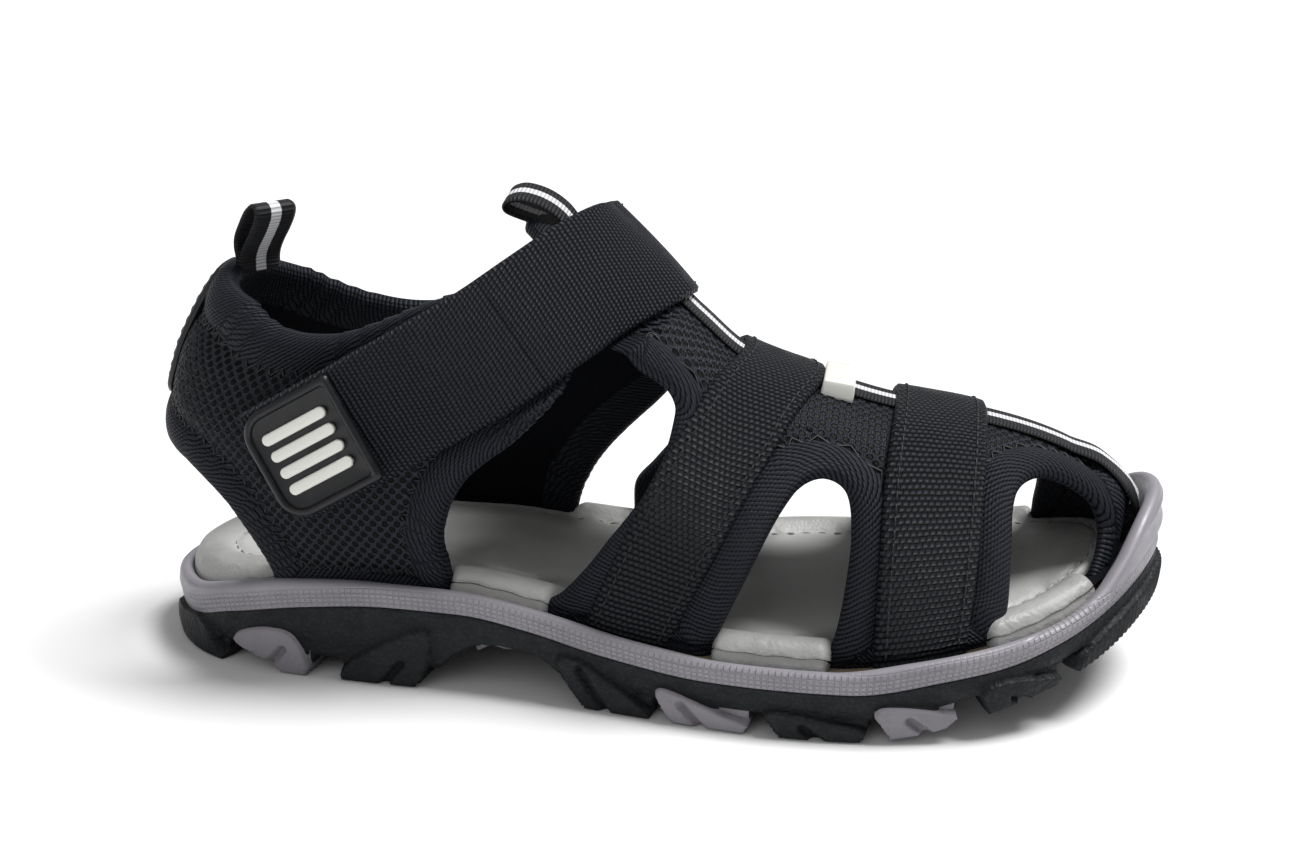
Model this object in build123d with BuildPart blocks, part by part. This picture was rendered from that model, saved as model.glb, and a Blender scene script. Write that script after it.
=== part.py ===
"""Closed-toe sport sandal for a child's right foot, built as separate pieces.

Frame: millimetres, +X from heel to toe, -Y the outer (lateral) side, +Z up.
The origin is on the ground at the middle of the bounding box.
The upper is cut from two forms, one for the heel and one for the forefoot, in the way a
sandal is shaped over a last: each layer of fabric is a shell between two offsets of a form.
"""

import os
from math import cos, hypot, radians, sin

from build123d import *

os.makedirs("parts", exist_ok=True)

# ---------------------------------------------------------------- driving dimensions
RIM_WALL = 3.4  # thickness of the midsole rim
RIM_GAP = 0.4  # free space between the rim and what is tucked inside it
TREAD_DEPTH = 4.5
LUG_PROUD = 0.9  # how far a side lug stands out of the sole's side
SIDE_LUG_DEPTH = 15.0
TRAY_FLOOR = 2.0  # midsole left under the insole board
BOARD = 1.4  # insole board thickness
FOOTBED_SKIN = 0.9
SHANK_WIDTH, SHANK_THICKNESS = 14.0, 1.2

UPPER_SKIN = 1.1  # mesh and binding
UPPER_FOAM = 1.8
UPPER_LINING = 0.8
WEBBING = 1.3  # thickness of the sewn front webbing
ANKLE_WEBBING_WIDTH, ANKLE_WEBBING = 25.0, 1.5
TAPE_WIDTH, TAPE = 10.0, 0.9
LOOP_PILE, HOOK_PILE = 1.1, 1.0  # the two faces of the touch fastening
HEEL_TAB = 1.1
LAYER_GAP = 0.05  # between layers that are sewn or glued together
MOVING_GAP = 0.5  # between pieces that move apart
FOOTBED_GAP = 1.9  # between the footbed's edge and the upper tucked in beside it
BINDING_WIDTH = 7.5
TALL = 110.0  # above everything

# Side view curves, as (x, z) points from heel to toe.
# GROUND dips below zero where the tread stands on the floor, and what is below zero is cut flat.
GROUND = [(-106, 1.6), (-98, 0.3), (-88, -0.5), (-42, -0.6), (-12, -0.6), (42, -0.4), (55, 1.6), (66, 4.6)]
GROUND += [(80, 8.6), (92, 13), (106, 19.5)]
INTERFACE = [(-106, 7), (-96, 8.4), (-85, 11.6), (-68, 14.9), (-50, 16.4), (-36, 16.2), (-22, 14.4)]
INTERFACE += [(-6, 11.5), (14, 9.3)]
INTERFACE += [(42, 9.6), (60, 12.3), (72, 14.8), (82, 17.6), (90, 20.4), (98, 24), (106, 27)]
RIM = [(-106, 13.5), (-96, 14.6), (-86, 17.2), (-72, 20.4), (-55, 21.3), (-38, 21), (-20, 18.6)]
RIM += [(0, 15.2), (18, 13.4)]
RIM += [(38, 13.5), (54, 15.8), (72, 18.9), (82, 21), (89, 24.4), (94, 29.2), (99, 35.6), (106, 41.5)]
FOOTBED_TOP = [(-106, 17.6), (-90, 19.4), (-72, 21.8), (-52, 23.4), (-36, 23.4), (-18, 21.4)]
FOOTBED_TOP += [(0, 18.8), (18, 17.2)]
FOOTBED_TOP += [(40, 17.3), (56, 19.4), (72, 22.4), (84, 25.6), (95, 29.8), (106, 34.5)]

# Plan outline of the sole, as (x, y) points round the right foot: outer side, toe, inner side.
OUTLINE = [(-103, -2), (-100, -13), (-92, -22.5), (-78, -28.5), (-55, -31), (-25, -32.5), (0, -37)]
OUTLINE += [(25, -41)]
OUTLINE += [(48, -40.5), (68, -35.5), (82, -27.5), (92, -17), (99.5, -4), (103, 9), (100.5, 21), (92, 31)]
OUTLINE += [(78, 37.5), (55, 41), (30, 39.5), (5, 33), (-20, 28), (-45, 27), (-70, 28), (-88, 23.5)]
OUTLINE += [(-99, 11)]


# ---------------------------------------------------------------- helpers
def smooth(points, x):
    """Height of a curve through the points at x, with no overshoot between them."""
    if x <= points[0][0]:
        return points[0][1]
    if x >= points[-1][0]:
        return points[-1][1]
    slopes = [(b[1] - a[1]) / (b[0] - a[0]) for a, b in zip(points, points[1:])]
    tangents = [slopes[0]]
    for before, after in zip(slopes, slopes[1:]):
        flat = before * after <= 0
        tangents.append(0 if flat else 2 * before * after / (before + after))
    tangents.append(slopes[-1])
    i = max(k for k in range(len(slopes)) if points[k][0] <= x)
    span = points[i + 1][0] - points[i][0]
    t = (x - points[i][0]) / span
    start, end = points[i][1], points[i + 1][1]
    rise_in, rise_out = tangents[i] * span, tangents[i + 1] * span
    cubic = 2 * (start - end) + rise_in + rise_out
    square = 3 * (end - start) - 2 * rise_in - rise_out
    return ((cubic * t + square) * t + rise_in) * t + start


def outline_points(inset, outline=None):
    """An anticlockwise outline, the sole's by default, moved inward by inset."""
    points = outline or OUTLINE
    moved = []
    count = len(points)
    for i, (x, y) in enumerate(points):
        before, after = points[i - 1], points[(i + 1) % count]
        dx, dy = after[0] - before[0], after[1] - before[1]
        size = hypot(dx, dy)
        moved.append((x - dy / size * inset, y + dx / size * inset))
    return moved


def outline_y(x, side, inset):
    """Half width of the sole at x on one side, -1 for the outer and 1 for the inner side."""
    points = outline_points(inset)
    toe = OUTLINE.index((103, 9))
    outer = points[: toe + 1]
    inner = [points[0], *reversed(points[toe:])]
    return smooth(outer if side < 0 else inner, x)


def slab(inset, low, high, low_shift=0.0, high_shift=0.0):
    """The plan outline, inset, between two side view curves. A high of None leaves it tall."""
    with BuildPart() as made:
        with BuildSketch(Plane.XY.offset(-5)):
            with BuildLine():
                Spline(*outline_points(inset), periodic=True)
            make_face()
        extrude(amount=TALL + 5)
        with BuildSketch(Plane.XZ):
            with BuildLine():
                bottom = [(x, z + low_shift) for x, z in low]
                top = [(x, z + high_shift) for x, z in high or [(-106, TALL), (0, TALL), (106, TALL)]]
                Spline(*bottom)
                Line(bottom[-1], top[-1])
                Spline(*reversed(top))
                Line(top[0], bottom[0])
            make_face()
        extrude(amount=60, both=True, mode=Mode.INTERSECT)
    return made.part


def side_prism(points, side, rounding=0.0):
    """A side view polygon pushed out to one side of the sandal, with its corners rounded."""
    with BuildPart() as made:
        with BuildSketch(Plane.XZ) as drawn:
            with BuildLine():
                Polyline(*points, close=True)
            make_face()
            if rounding:
                fillet(drawn.vertices(), rounding)
        extrude(amount=-60 * side)
    return made.part


def save(part, name):
    """Writes one finished piece."""
    part.label = name
    export_step(part, f"parts/{name}.step")
    print(name, "solids", len(part.solids()), "volume", round(part.volume))


# ---------------------------------------------------------------- sole unit
# Side lugs, as the x of each lower corner and of each upper corner, and the height of the top.
BLACK_LUGS = [(-100, -87, -101, -89, 9), (-61, -42, -52, -41, 13), (-15, 3, -17, -3, 10.5)]
BLACK_LUGS += [(27, 46, 24, 44, 6.5)]
BLACK_LUGS += [(69, 83, 66, 82, 12), (87, 103, 88, 103, 19)]
GREY_LUGS = [(-84, -68, -79, -66, 9.5), (6, 23, 3, 19, 8), (49, 64, 46, 63, 8.5)]


def lug_prism(lug):
    """One side lug's side view, pushed right through the sole."""
    x0, x1, top0, top1, height = lug
    floor0, floor1 = smooth(GROUND, x0), smooth(GROUND, x1)
    corners = [(x0, floor0), (x1, floor1), (top1, height + floor1 * 0.35)]
    corners += [(top0, height - 1.5 + floor0 * 0.35)]
    return side_prism(corners, -1, 1.2) + side_prism(corners, 1, 1.2)


def lug_ring():
    """The band round the sole's side that the side lugs are cut from."""
    with BuildPart() as ring:
        for inset, mode in ((-LUG_PROUD, Mode.ADD), (SIDE_LUG_DEPTH, Mode.SUBTRACT)):
            with BuildSketch(Plane.XY.offset(-1)):
                with BuildLine():
                    Spline(*outline_points(inset), periodic=True)
                make_face()
            extrude(amount=30, mode=mode)
    return ring.part


def centre_tread():
    """Chevron bars across the bottom, between the side lugs."""
    with BuildPart() as bars:
        with BuildSketch(Plane.XY.offset(-1)):
            for x in (-84, -72, -60, -48, -8, 4, 16, 28, 40, 52, 64, 76):
                y = 2 if x > 0 else -1
                with BuildLine():
                    arms = [(x, y - 22), (x + 7, y), (x, y + 22), (x + 5, y + 22), (x + 12, y)]
                    arms += [(x + 5, y - 22)]
                    Polyline(*arms, close=True)
                make_face()
        extrude(amount=30)
        add(slab(SIDE_LUG_DEPTH + 2.5, GROUND, GROUND, 0.0, TREAD_DEPTH + 1), mode=Mode.INTERSECT)
    return bars.part


ARCH = [(-41, -6), (-36, 7.5), (-30, 10), (-21, 9.5), (-16, 6.5), (-13, -6)]
below_floor = Pos(0, 0, -5) * Box(230, 110, 10)
ring = lug_ring()
grey_lugs = (ring & Part() + [lug_prism(lug) for lug in GREY_LUGS]) - below_floor
black_lugs = ring & Part() + [lug_prism(lug) for lug in BLACK_LUGS]

with BuildPart() as outsole:
    add(slab(0, GROUND, INTERFACE, TREAD_DEPTH))
    with BuildSketch(Plane.XZ):
        with BuildLine():
            Spline(*ARCH)
            Line(ARCH[-1], ARCH[0])
        make_face()
    extrude(amount=60, both=True, mode=Mode.SUBTRACT)
    add(black_lugs)
    add(centre_tread())
    add(slab(-2 * LUG_PROUD, INTERFACE, None), mode=Mode.SUBTRACT)
    add(below_floor, mode=Mode.SUBTRACT)
    add(grey_lugs, mode=Mode.SUBTRACT)
save(outsole.part, "outsole")

with BuildPart() as tread_inserts:
    add(grey_lugs)
save(tread_inserts.part, "grey_tread_lugs")

with BuildPart() as midsole:
    add(slab(0, INTERFACE, RIM, LAYER_GAP))
    add(slab(RIM_WALL, INTERFACE, None, TRAY_FLOOR), mode=Mode.SUBTRACT)
save(midsole.part, "midsole")

with BuildPart() as board:
    add(slab(RIM_WALL + RIM_GAP, INTERFACE, INTERFACE, TRAY_FLOOR + LAYER_GAP, TRAY_FLOOR + BOARD))
save(board.part, "insole_board")


# ---------------------------------------------------------------- forms the upper is shaped over
WEBBING_IN = LAYER_GAP + TAPE + LAYER_GAP  # the front straps lie over the centre tape
WEBBING_OUT = WEBBING_IN + WEBBING
LASTING_INSET = RIM_WALL + RIM_GAP + WEBBING_OUT  # outer face of the upper, inside the rim
RIDGE = [(-40, 88), (-25, 87), (-11, 84.5), (-2.5, 80.5), (7.5, 71.8), (17, 64.5), (35, 59)]
RIDGE += [(47, 55.6), (66, 52)]
RIDGE += [(81, 46.8), (89, 42.6), (94, 38.6), (98, 33)]
RIDGE_Y = [(-40, 0), (20, 0), (40, 1), (66, 5), (81, 8), (98, 9)]
FORE_STATIONS = (-36, -25, -14, -5, 4, 14, 26, 40, 54, 67, 78, 86, 92, 95.5)
FORE_BASE = 9.0
SIDE_FULLNESS = 0.8  # below 1 makes the sides stand up more than an ellipse
ANKLE_FULLNESS = [(-36, 0.5), (-26, 0.45), (-5, 0.3), (10, 0.15), (30, 0)]  # swelling towards the ankle

# Heel form, as (z, back x, half width) of each level.
HEEL_LEVELS = [(2, -98.5, 25.2), (20, -99, 25.2), (35, -101, 26.4), (48, -101.4, 27)]
HEEL_LEVELS += [(60, -98.6, 25.6), (70, -94, 23.4)]
HEEL_LEVELS += [(80, -87.5, 21), (92, -79, 18.5)]
HEEL_FRONT = 2.0
HEEL_Y = -2.0


def fore_point(x, turn, d=0.0):
    """A point on the forefoot form. turn is 0 at the outer side, 90 on the ridge, 180 inside."""
    side = -1 if turn <= 90 else 1
    swell = 1 + smooth(ANKLE_FULLNESS, x) * sin(radians(turn))
    lean = abs(cos(radians(turn))) ** SIDE_FULLNESS * swell
    ridge_y = smooth(RIDGE_Y, x)
    slope = (smooth(RIDGE, x + 1) - smooth(RIDGE, x - 1)) / 2
    top = smooth(RIDGE, x) + d * hypot(1, slope)
    edge = outline_y(x, side, LASTING_INSET - d)
    return ridge_y + (edge - ridge_y) * lean, FORE_BASE + (top - FORE_BASE) * sin(radians(turn))


def fore_form(d):
    """The forefoot form, grown by d."""
    with BuildPart() as form:
        for x in FORE_STATIONS:
            shift = d * max(0.0, x - 78) / 17.5
            with BuildSketch(Plane.YZ.offset(x + shift)):
                with BuildLine():
                    arch = [fore_point(x + shift, turn, d) for turn in range(0, 181, 15)]
                    Spline(*arch)
                    Polyline(arch[-1], (arch[-1][0], -8), (arch[0][0], -8), arch[0])
                make_face()
        loft()
    return form.part


def heel_form(d):
    """The heel form, grown by d."""
    with BuildPart() as form:
        for z, back, half in HEEL_LEVELS:
            with BuildSketch(Plane.XY.offset(z)):
                with BuildLine():
                    depth = half + 12
                    bend = [(back + depth, HEEL_Y - half - d)]
                    for turn in range(15, 180, 15):
                        away = sin(radians(turn)) ** 0.9
                        across = cos(radians(turn))
                        reach = abs(across) ** 0.72 * (1 if across > 0 else -1)
                        bend.append((back + depth - (depth + d) * away, HEEL_Y - (half + d) * reach))
                    bend.append((back + depth, HEEL_Y + half + d))
                    Spline(*bend)
                    Polyline(bend[-1], (HEEL_FRONT, bend[-1][1]), (HEEL_FRONT, bend[0][1]), bend[0])
                make_face()
        loft()
    return form.part


def between(outer, inner):
    """The shell between two forms."""
    return outer - inner


# Offsets of the layers' faces from the form, from outside to inside.
SKIN_IN = -UPPER_SKIN
FOAM_OUT, FOAM_IN = SKIN_IN - LAYER_GAP, SKIN_IN - LAYER_GAP - UPPER_FOAM
HEEL_LINING_OUT = FOAM_IN - LAYER_GAP
HEEL_LINING_IN = HEEL_LINING_OUT - UPPER_LINING
VAMP_LINING_OUT = SKIN_IN - LAYER_GAP
VAMP_LINING_IN = VAMP_LINING_OUT - UPPER_LINING
TONGUE_OUT = VAMP_LINING_IN - MOVING_GAP
TONGUE_PANEL_IN = TONGUE_OUT - UPPER_SKIN
TONGUE_FOAM_IN = TONGUE_PANEL_IN - LAYER_GAP - UPPER_FOAM
TONGUE_IN = TONGUE_FOAM_IN - LAYER_GAP - UPPER_LINING

fore_levels = (WEBBING_OUT, WEBBING_IN, LAYER_GAP + TAPE, LAYER_GAP, 0.0, SKIN_IN, VAMP_LINING_OUT)
fore_levels += (VAMP_LINING_IN,)
fore_levels += (TONGUE_OUT, TONGUE_PANEL_IN, TONGUE_PANEL_IN - LAYER_GAP, TONGUE_FOAM_IN)
fore_levels += (TONGUE_FOAM_IN - LAYER_GAP, TONGUE_IN)
FORE = {d: fore_form(d) for d in fore_levels}
heel_levels = (LAYER_GAP + LOOP_PILE, LAYER_GAP + HEEL_TAB, LAYER_GAP, 0.0, SKIN_IN, FOAM_OUT)
heel_levels += (FOAM_IN, HEEL_LINING_OUT, HEEL_LINING_IN)
HEEL = {d: heel_form(d) for d in heel_levels}

# ---------------------------------------------------------------- side view profiles of the upper
# Each profile is a polygon of (x, z) points. The inner side sits a little further forward.
QUARTER_OUTER = [(-110, 80), (-110, 47.5), (-98, 44.5), (-89, 37), (-80, 26), (-76, 12), (-76, -4)]
QUARTER_OUTER += [(-37, -4), (-37.5, 15)]
QUARTER_OUTER += [(-39, 30), (-35, 43), (-26, 51), (-17.5, 61.5), (-14.5, 70), (-19, 79), (-38, 79.5)]
QUARTER_OUTER += [(-48, 76)]
QUARTER_OUTER += [(-60, 71.5), (-69, 70.8), (-77, 74), (-84, 79), (-90, 80)]
QUARTER_INNER = [(-110, 80), (-110, 47.5), (-98, 44.5), (-89, 37), (-80, 26), (-76, 12), (-76, -4)]
QUARTER_INNER += [(-26, -4), (-26, 40)]
QUARTER_INNER += [(-26, 79), (-38, 75), (-50, 67), (-60, 67), (-72, 70), (-81, 75.5), (-87, 80)]
EAR = [(-25.8, -4), (-21, -4), (-21, 19), (-13, 36), (-4, 46), (3, 53), (9, 63), (10, 72), (-1, 88)]
EAR += [(-14, 90), (-25.8, 82)]
EAR_EDGE_Y = 11.0

VAMP_OUTER = [(-20, -4), (-20, 18), (-15.5, 21), (-6, 34), (1, 44), (4.5, 53), (5, 58), (3, 61)]
VAMP_OUTER += [(4, 70), (5, 84), (112, 84), (112, -4)]
VAMP_INNER = [(-13, -4), (-13, 19), (-9, 23), (-3, 32), (3, 41), (5, 51), (5, 58), (3, 61), (4, 70)]
VAMP_INNER += [(5, 84), (112, 84), (112, -4)]
OPENINGS_OUTER = [[
    (15, -4), (15, 13), (19.5, 25), (25, 37), (30, 45), (34, 47.3), (39, 46.5), (40.5, 36.5),
    (40, 24), (37, 13), (37, -4),
]]
OPENINGS_OUTER += [[
    (70.7, -4), (70.7, 19), (71.6, 33), (71.8, 42), (74, 44.6), (78, 44.4), (84, 41.6),
    (88.6, 37.5), (90.3, 33), (89.5, 26), (88, -4),
]]
OPENINGS_INNER = [[
    (18, -4), (18, 13), (22, 25), (26.5, 37), (31, 45), (35, 47.3), (40, 46.5), (42, 36.5),
    (41, 24), (40, 13), (40, -4),
]]
OPENINGS_INNER += [[
    (69, -4), (69, 19), (70, 33), (70.5, 42), (72, 44.6), (75, 44.4), (78.5, 40), (79, 33),
    (79, 26), (79, -4),
]]

INSTEP_OUTER = [(-10, -4), (-10, 14), (0, 40), (7, 55), (12, 62), (16, 68), (16, 80), (32.6, 80)]
INSTEP_OUTER += [(32.6, 66), (27, 58), (20, 45), (6.7, 14), (6.7, -4)]
INSTEP_INNER = [(-5, -4), (-5, 14), (3, 40), (9, 55), (13, 62), (16, 68), (16, 80), (32.6, 80)]
INSTEP_INNER += [(32.6, 66), (29, 58), (23, 45), (12, 14), (12, -4)]
TOE_STRAP = [(46.6, -4), (47, 80), (65.6, 80), (64, 20), (63.4, -4)]
TONGUE = [(8.5, 60), (1, 60.2), (-3, 61.5), (-9, 68), (-17, 76), (-26, 84), (-30, 100), (8.5, 100)]
LOOP_PATCH = [(-76, 46), (-69, 35), (-34, 58), (-41, 70)]


def flat(points, rounding=1.2):
    """A flat side view face with its corners rounded."""
    with BuildSketch() as drawn:
        with BuildLine():
            Polyline(*points, close=True)
        make_face()
        fillet(drawn.vertices(), rounding)
    return drawn.sketch


def border_of(points, width, holes=(), rounding=1.5):
    """Flat side view faces of a panel: the field inside its binding, and the binding itself."""
    whole = flat(points, rounding)
    for hole in holes:
        whole -= flat(hole)
    with BuildSketch() as field:
        add(whole)
        offset(amount=-width, mode=Mode.REPLACE)
    return field.sketch, whole - field.sketch


def push(flat, side, low_y=0.05, reach=60):
    """A flat side view face pushed out to one side, starting just off the middle."""
    standing = Plane.XZ.offset(-side * low_y) * flat
    return extrude(standing, amount=reach, dir=(0, side, 0))


TRAY = slab(RIM_WALL + RIM_GAP, INTERFACE, None, TRAY_FLOOR + BOARD + LAYER_GAP)
UPPER_SPACE = TRAY + slab(-12, RIM, None, MOVING_GAP)


def sewn(shell, prism):
    """A layer of the upper cut to a side view prism and kept inside the midsole tray."""
    return (shell & prism) & UPPER_SPACE


# Centre lines of the ankle webbing, from its free end on the outer side to the seam on the inner side.
TIP_PATH = [(-77.5, -31.4, 41.7), (-66, -32.6, 48.6), (-55.3, -32.6, 55)]
FLAP_PATH = [(-54.6, -32.6, 55.4), (-46, -32, 60.6), (-38, -30.9, 65.4), (-29, -28.2, 70.8)]
FLAP_PATH += [(-20, -23.8, 77)]
FLAP_PATH += [(-11.5, -15.5, 82.6), (-5, -6, 85.2), (-2.4, 3, 84.9), (-3.5, 8.8, 83.5)]
BASE_PATH = [(-4.9, 11.0, 82.5), (-11, 17.2, 79.8), (-20, 22, 75), (-31, 24.6, 69), (-42, 25.4, 62.4)]
SIDE_WIDTH_DIR, RIDGE_WIDTH_DIR = (0.51, 0, -0.86), (0.75, 0, -0.66)


def ribbon(path, width, thickness, lift=0.0):
    """A band of webbing swept along a path, lifted outward from it."""
    track = Spline(*path)
    stations = len(path) * 2 - 1
    with BuildPart() as band:
        for i in range(stations):
            at = i / (stations - 1)
            centre, run = track @ at, track % at
            share = min(1.0, abs(centre.Y) / 26)
            across = Vector(*SIDE_WIDTH_DIR) * share + Vector(*RIDGE_WIDTH_DIR) * (1 - share)
            across = (across - run * across.dot(run)).normalized()
            with BuildSketch(Plane(origin=centre, x_dir=across, z_dir=run)):
                with Locations((0, -lift)):
                    Rectangle(width, thickness)
        loft()
    return band.part


def strap_space(path, gap):
    """All the room from just under a stretch of ankle webbing outward: the padding gives way to it."""
    reach = 9.0
    return ribbon(path, ANKLE_WEBBING_WIDTH + 1, reach, reach / 2 - ANKLE_WEBBING / 2 - gap)


flap_space = strap_space(FLAP_PATH, MOVING_GAP)
base_space = strap_space(BASE_PATH, LAYER_GAP)

upper = {}  # the pieces that pass down inside the rim
heel_skin = between(HEEL[0.0], HEEL[SKIN_IN])
heel_foam = between(HEEL[FOAM_OUT], HEEL[FOAM_IN])
heel_lining = between(HEEL[HEEL_LINING_OUT], HEEL[HEEL_LINING_IN])
heel_whole = between(HEEL[0.0], HEEL[HEEL_LINING_IN])
fore_skin = between(FORE[0.0], FORE[SKIN_IN])
fore_lining = between(FORE[VAMP_LINING_OUT], FORE[VAMP_LINING_IN])
fore_whole = between(FORE[0.0], FORE[VAMP_LINING_IN])

for side, side_name, profile in ((-1, "outer", QUARTER_OUTER), (1, "inner", QUARTER_INNER)):
    field, binding = border_of(profile, BINDING_WIDTH)
    field_prism, binding_prism = push(field, side), push(binding, side)
    upper[f"quarter_mesh_{side_name}"] = sewn(heel_skin, field_prism)
    upper[f"quarter_foam_{side_name}"] = sewn(heel_foam, field_prism)
    upper[f"quarter_lining_{side_name}"] = sewn(heel_lining, field_prism)
    upper[f"quarter_binding_{side_name}"] = sewn(heel_whole, binding_prism)

for side, side_name, profile, openings in (
    (-1, "outer", VAMP_OUTER, OPENINGS_OUTER),
    (1, "inner", VAMP_INNER, OPENINGS_INNER),
):
    field, binding = border_of(profile, BINDING_WIDTH * 0.8, openings)
    upper[f"vamp_mesh_{side_name}"] = sewn(fore_skin, push(field, side, 0.0))
    upper[f"vamp_lining_{side_name}"] = sewn(fore_lining, push(field, side, 0.0))
    upper[f"vamp_binding_{side_name}"] = sewn(fore_whole, push(binding, side, 0.0))

# The inner quarter runs on over the instep as an ear, and the ankle strap is sewn to it.
ear_field, ear_binding = border_of(EAR, BINDING_WIDTH)
upper["ear_mesh"] = sewn(fore_skin, push(ear_field, 1, EAR_EDGE_Y))
upper["ear_lining"] = sewn(fore_lining, push(ear_field, 1, EAR_EDGE_Y))
upper["ear_binding"] = sewn(fore_whole, push(ear_binding, 1, EAR_EDGE_Y))

for name in ("ear_mesh", "ear_lining", "ear_binding"):
    upper[name] = upper[name] - upper["vamp_binding_inner"] - base_space - flap_space
for name in ("quarter_mesh_inner", "quarter_binding_inner", "quarter_foam_inner", "quarter_lining_inner"):
    upper[name] = upper[name] - base_space
for name in ("quarter_mesh_outer", "quarter_binding_outer", "quarter_foam_outer", "quarter_lining_outer"):
    upper[name] = upper[name] - flap_space

fore_webbing = between(FORE[WEBBING_OUT], FORE[WEBBING_IN])
instep_prism = push(flat(INSTEP_OUTER), -1, 0) + push(flat(INSTEP_INNER), 1, 0)
upper["instep_strap"] = sewn(fore_webbing, instep_prism)
upper["toe_strap"] = sewn(fore_webbing, push(flat(TOE_STRAP), -1, 0) + push(flat(TOE_STRAP), 1, 0))

# ---------------------------------------------------------------- footbed
with BuildPart() as shank:
    add(slab(RIM_WALL, INTERFACE, INTERFACE, TRAY_FLOOR + BOARD + 0.1, TRAY_FLOOR + BOARD + SHANK_THICKNESS))
    with Locations((-30, -1.5, 15)):
        Box(56, SHANK_WIDTH, 30, mode=Mode.INTERSECT)
save(shank.part, "shank")

FOOTBED_INSET = LASTING_INSET - VAMP_LINING_IN + FOOTBED_GAP
footbed_floor = TRAY_FLOOR + BOARD + LAYER_GAP
for name, low, low_shift, high_shift in (
    ("footbed_foam", INTERFACE, footbed_floor, -FOOTBED_SKIN - LAYER_GAP),
    ("footbed_cover", FOOTBED_TOP, -FOOTBED_SKIN, 0.0),
):
    with BuildPart() as layer:
        add(slab(FOOTBED_INSET, low, FOOTBED_TOP, low_shift, high_shift))
        add(shank.part, mode=Mode.SUBTRACT)
    save(layer.part, name)

# ---------------------------------------------------------------- trims sewn to the upper
tape_points = [(x, smooth(RIDGE_Y, x)) for x in (6, 20, 40, 55, 66, 75, 85, 97)]
with BuildPart() as tape:
    with BuildSketch():
        with BuildLine():
            near = Spline(*[(x, y - TAPE_WIDTH / 2) for x, y in tape_points])
            far = Spline(*[(x, y + TAPE_WIDTH / 2) for x, y in tape_points])
            Line(near @ 0, far @ 0)
            Line(near @ 1, far @ 1)
        make_face()
    extrude(amount=100)
    add(between(FORE[LAYER_GAP + TAPE], FORE[LAYER_GAP]), mode=Mode.INTERSECT)
    add(slab(0, RIM, None, MOVING_GAP), mode=Mode.INTERSECT)
save(tape.part, "centre_tape")

KEEPER_LENGTH, KEEPER_WIDTH, KEEPER_HEIGHT, KEEPER_X = 7.0, 10.4, 2.8, 36.6
keeper_slope = (smooth(RIDGE, KEEPER_X + 3) - smooth(RIDGE, KEEPER_X - 3)) / 6
keeper_size = hypot(1, keeper_slope)
keeper_plane = Plane(
    origin=(KEEPER_X, 0.8, smooth(RIDGE, KEEPER_X) + WEBBING_IN + 0.1),
    x_dir=(1 / keeper_size, 0, keeper_slope / keeper_size),
    z_dir=(-keeper_slope / keeper_size, 0, 1 / keeper_size),
)
with BuildPart() as keeper:
    with BuildSketch(keeper_plane):
        RectangleRounded(KEEPER_LENGTH, KEEPER_WIDTH, 1.0)
    extrude(amount=KEEPER_HEIGHT)
    fillet(keeper.edges().group_by(SortBy.LENGTH)[-1], 0.6)
save(keeper.part, "tape_keeper")

with BuildPart() as heel_tab:
    add(between(HEEL[LAYER_GAP + HEEL_TAB], HEEL[LAYER_GAP]))
    with Locations((-96, HEEL_Y, 65)):
        Box(30, 17, 26, mode=Mode.INTERSECT)
save(heel_tab.part, "heel_tab")

with BuildPart() as loop_patch:
    with BuildSketch(Plane.XZ) as patch_flat:
        with BuildLine():
            Polyline(*LOOP_PATCH, close=True)
        make_face()
        fillet(patch_flat.vertices(), 3)
    extrude(amount=60)
    add(between(HEEL[LAYER_GAP + LOOP_PILE], HEEL[LAYER_GAP]), mode=Mode.INTERSECT)
save(loop_patch.part, "loop_patch")

# ---------------------------------------------------------------- tongue
tongue_prism = push(flat(TONGUE), -1, 0) + push(flat(TONGUE), 1, 0)
for name, outer_level, inner_level in (
    ("tongue_panel", TONGUE_OUT, TONGUE_PANEL_IN),
    ("tongue_foam", TONGUE_PANEL_IN - LAYER_GAP, TONGUE_FOAM_IN),
    ("tongue_lining", TONGUE_FOAM_IN - LAYER_GAP, TONGUE_IN),
):
    save((between(FORE[outer_level], FORE[inner_level]) & tongue_prism) - flap_space - base_space, name)

# ---------------------------------------------------------------- ankle strap
hook_lift = -(ANKLE_WEBBING + HOOK_PILE) / 2 - 3 * LAYER_GAP
save(ribbon(BASE_PATH, ANKLE_WEBBING_WIDTH, ANKLE_WEBBING), "ankle_strap_base")
save(ribbon(FLAP_PATH, ANKLE_WEBBING_WIDTH, ANKLE_WEBBING), "ankle_strap")
save(ribbon(FLAP_PATH[:3], ANKLE_WEBBING_WIDTH - 4, HOOK_PILE, hook_lift), "hook_patch")
save(ribbon(TIP_PATH, ANKLE_WEBBING_WIDTH, ANKLE_WEBBING), "strap_end_webbing")
save(ribbon(TIP_PATH[1:], ANKLE_WEBBING_WIDTH - 4, HOOK_PILE, hook_lift), "strap_end_hook_patch")

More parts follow.
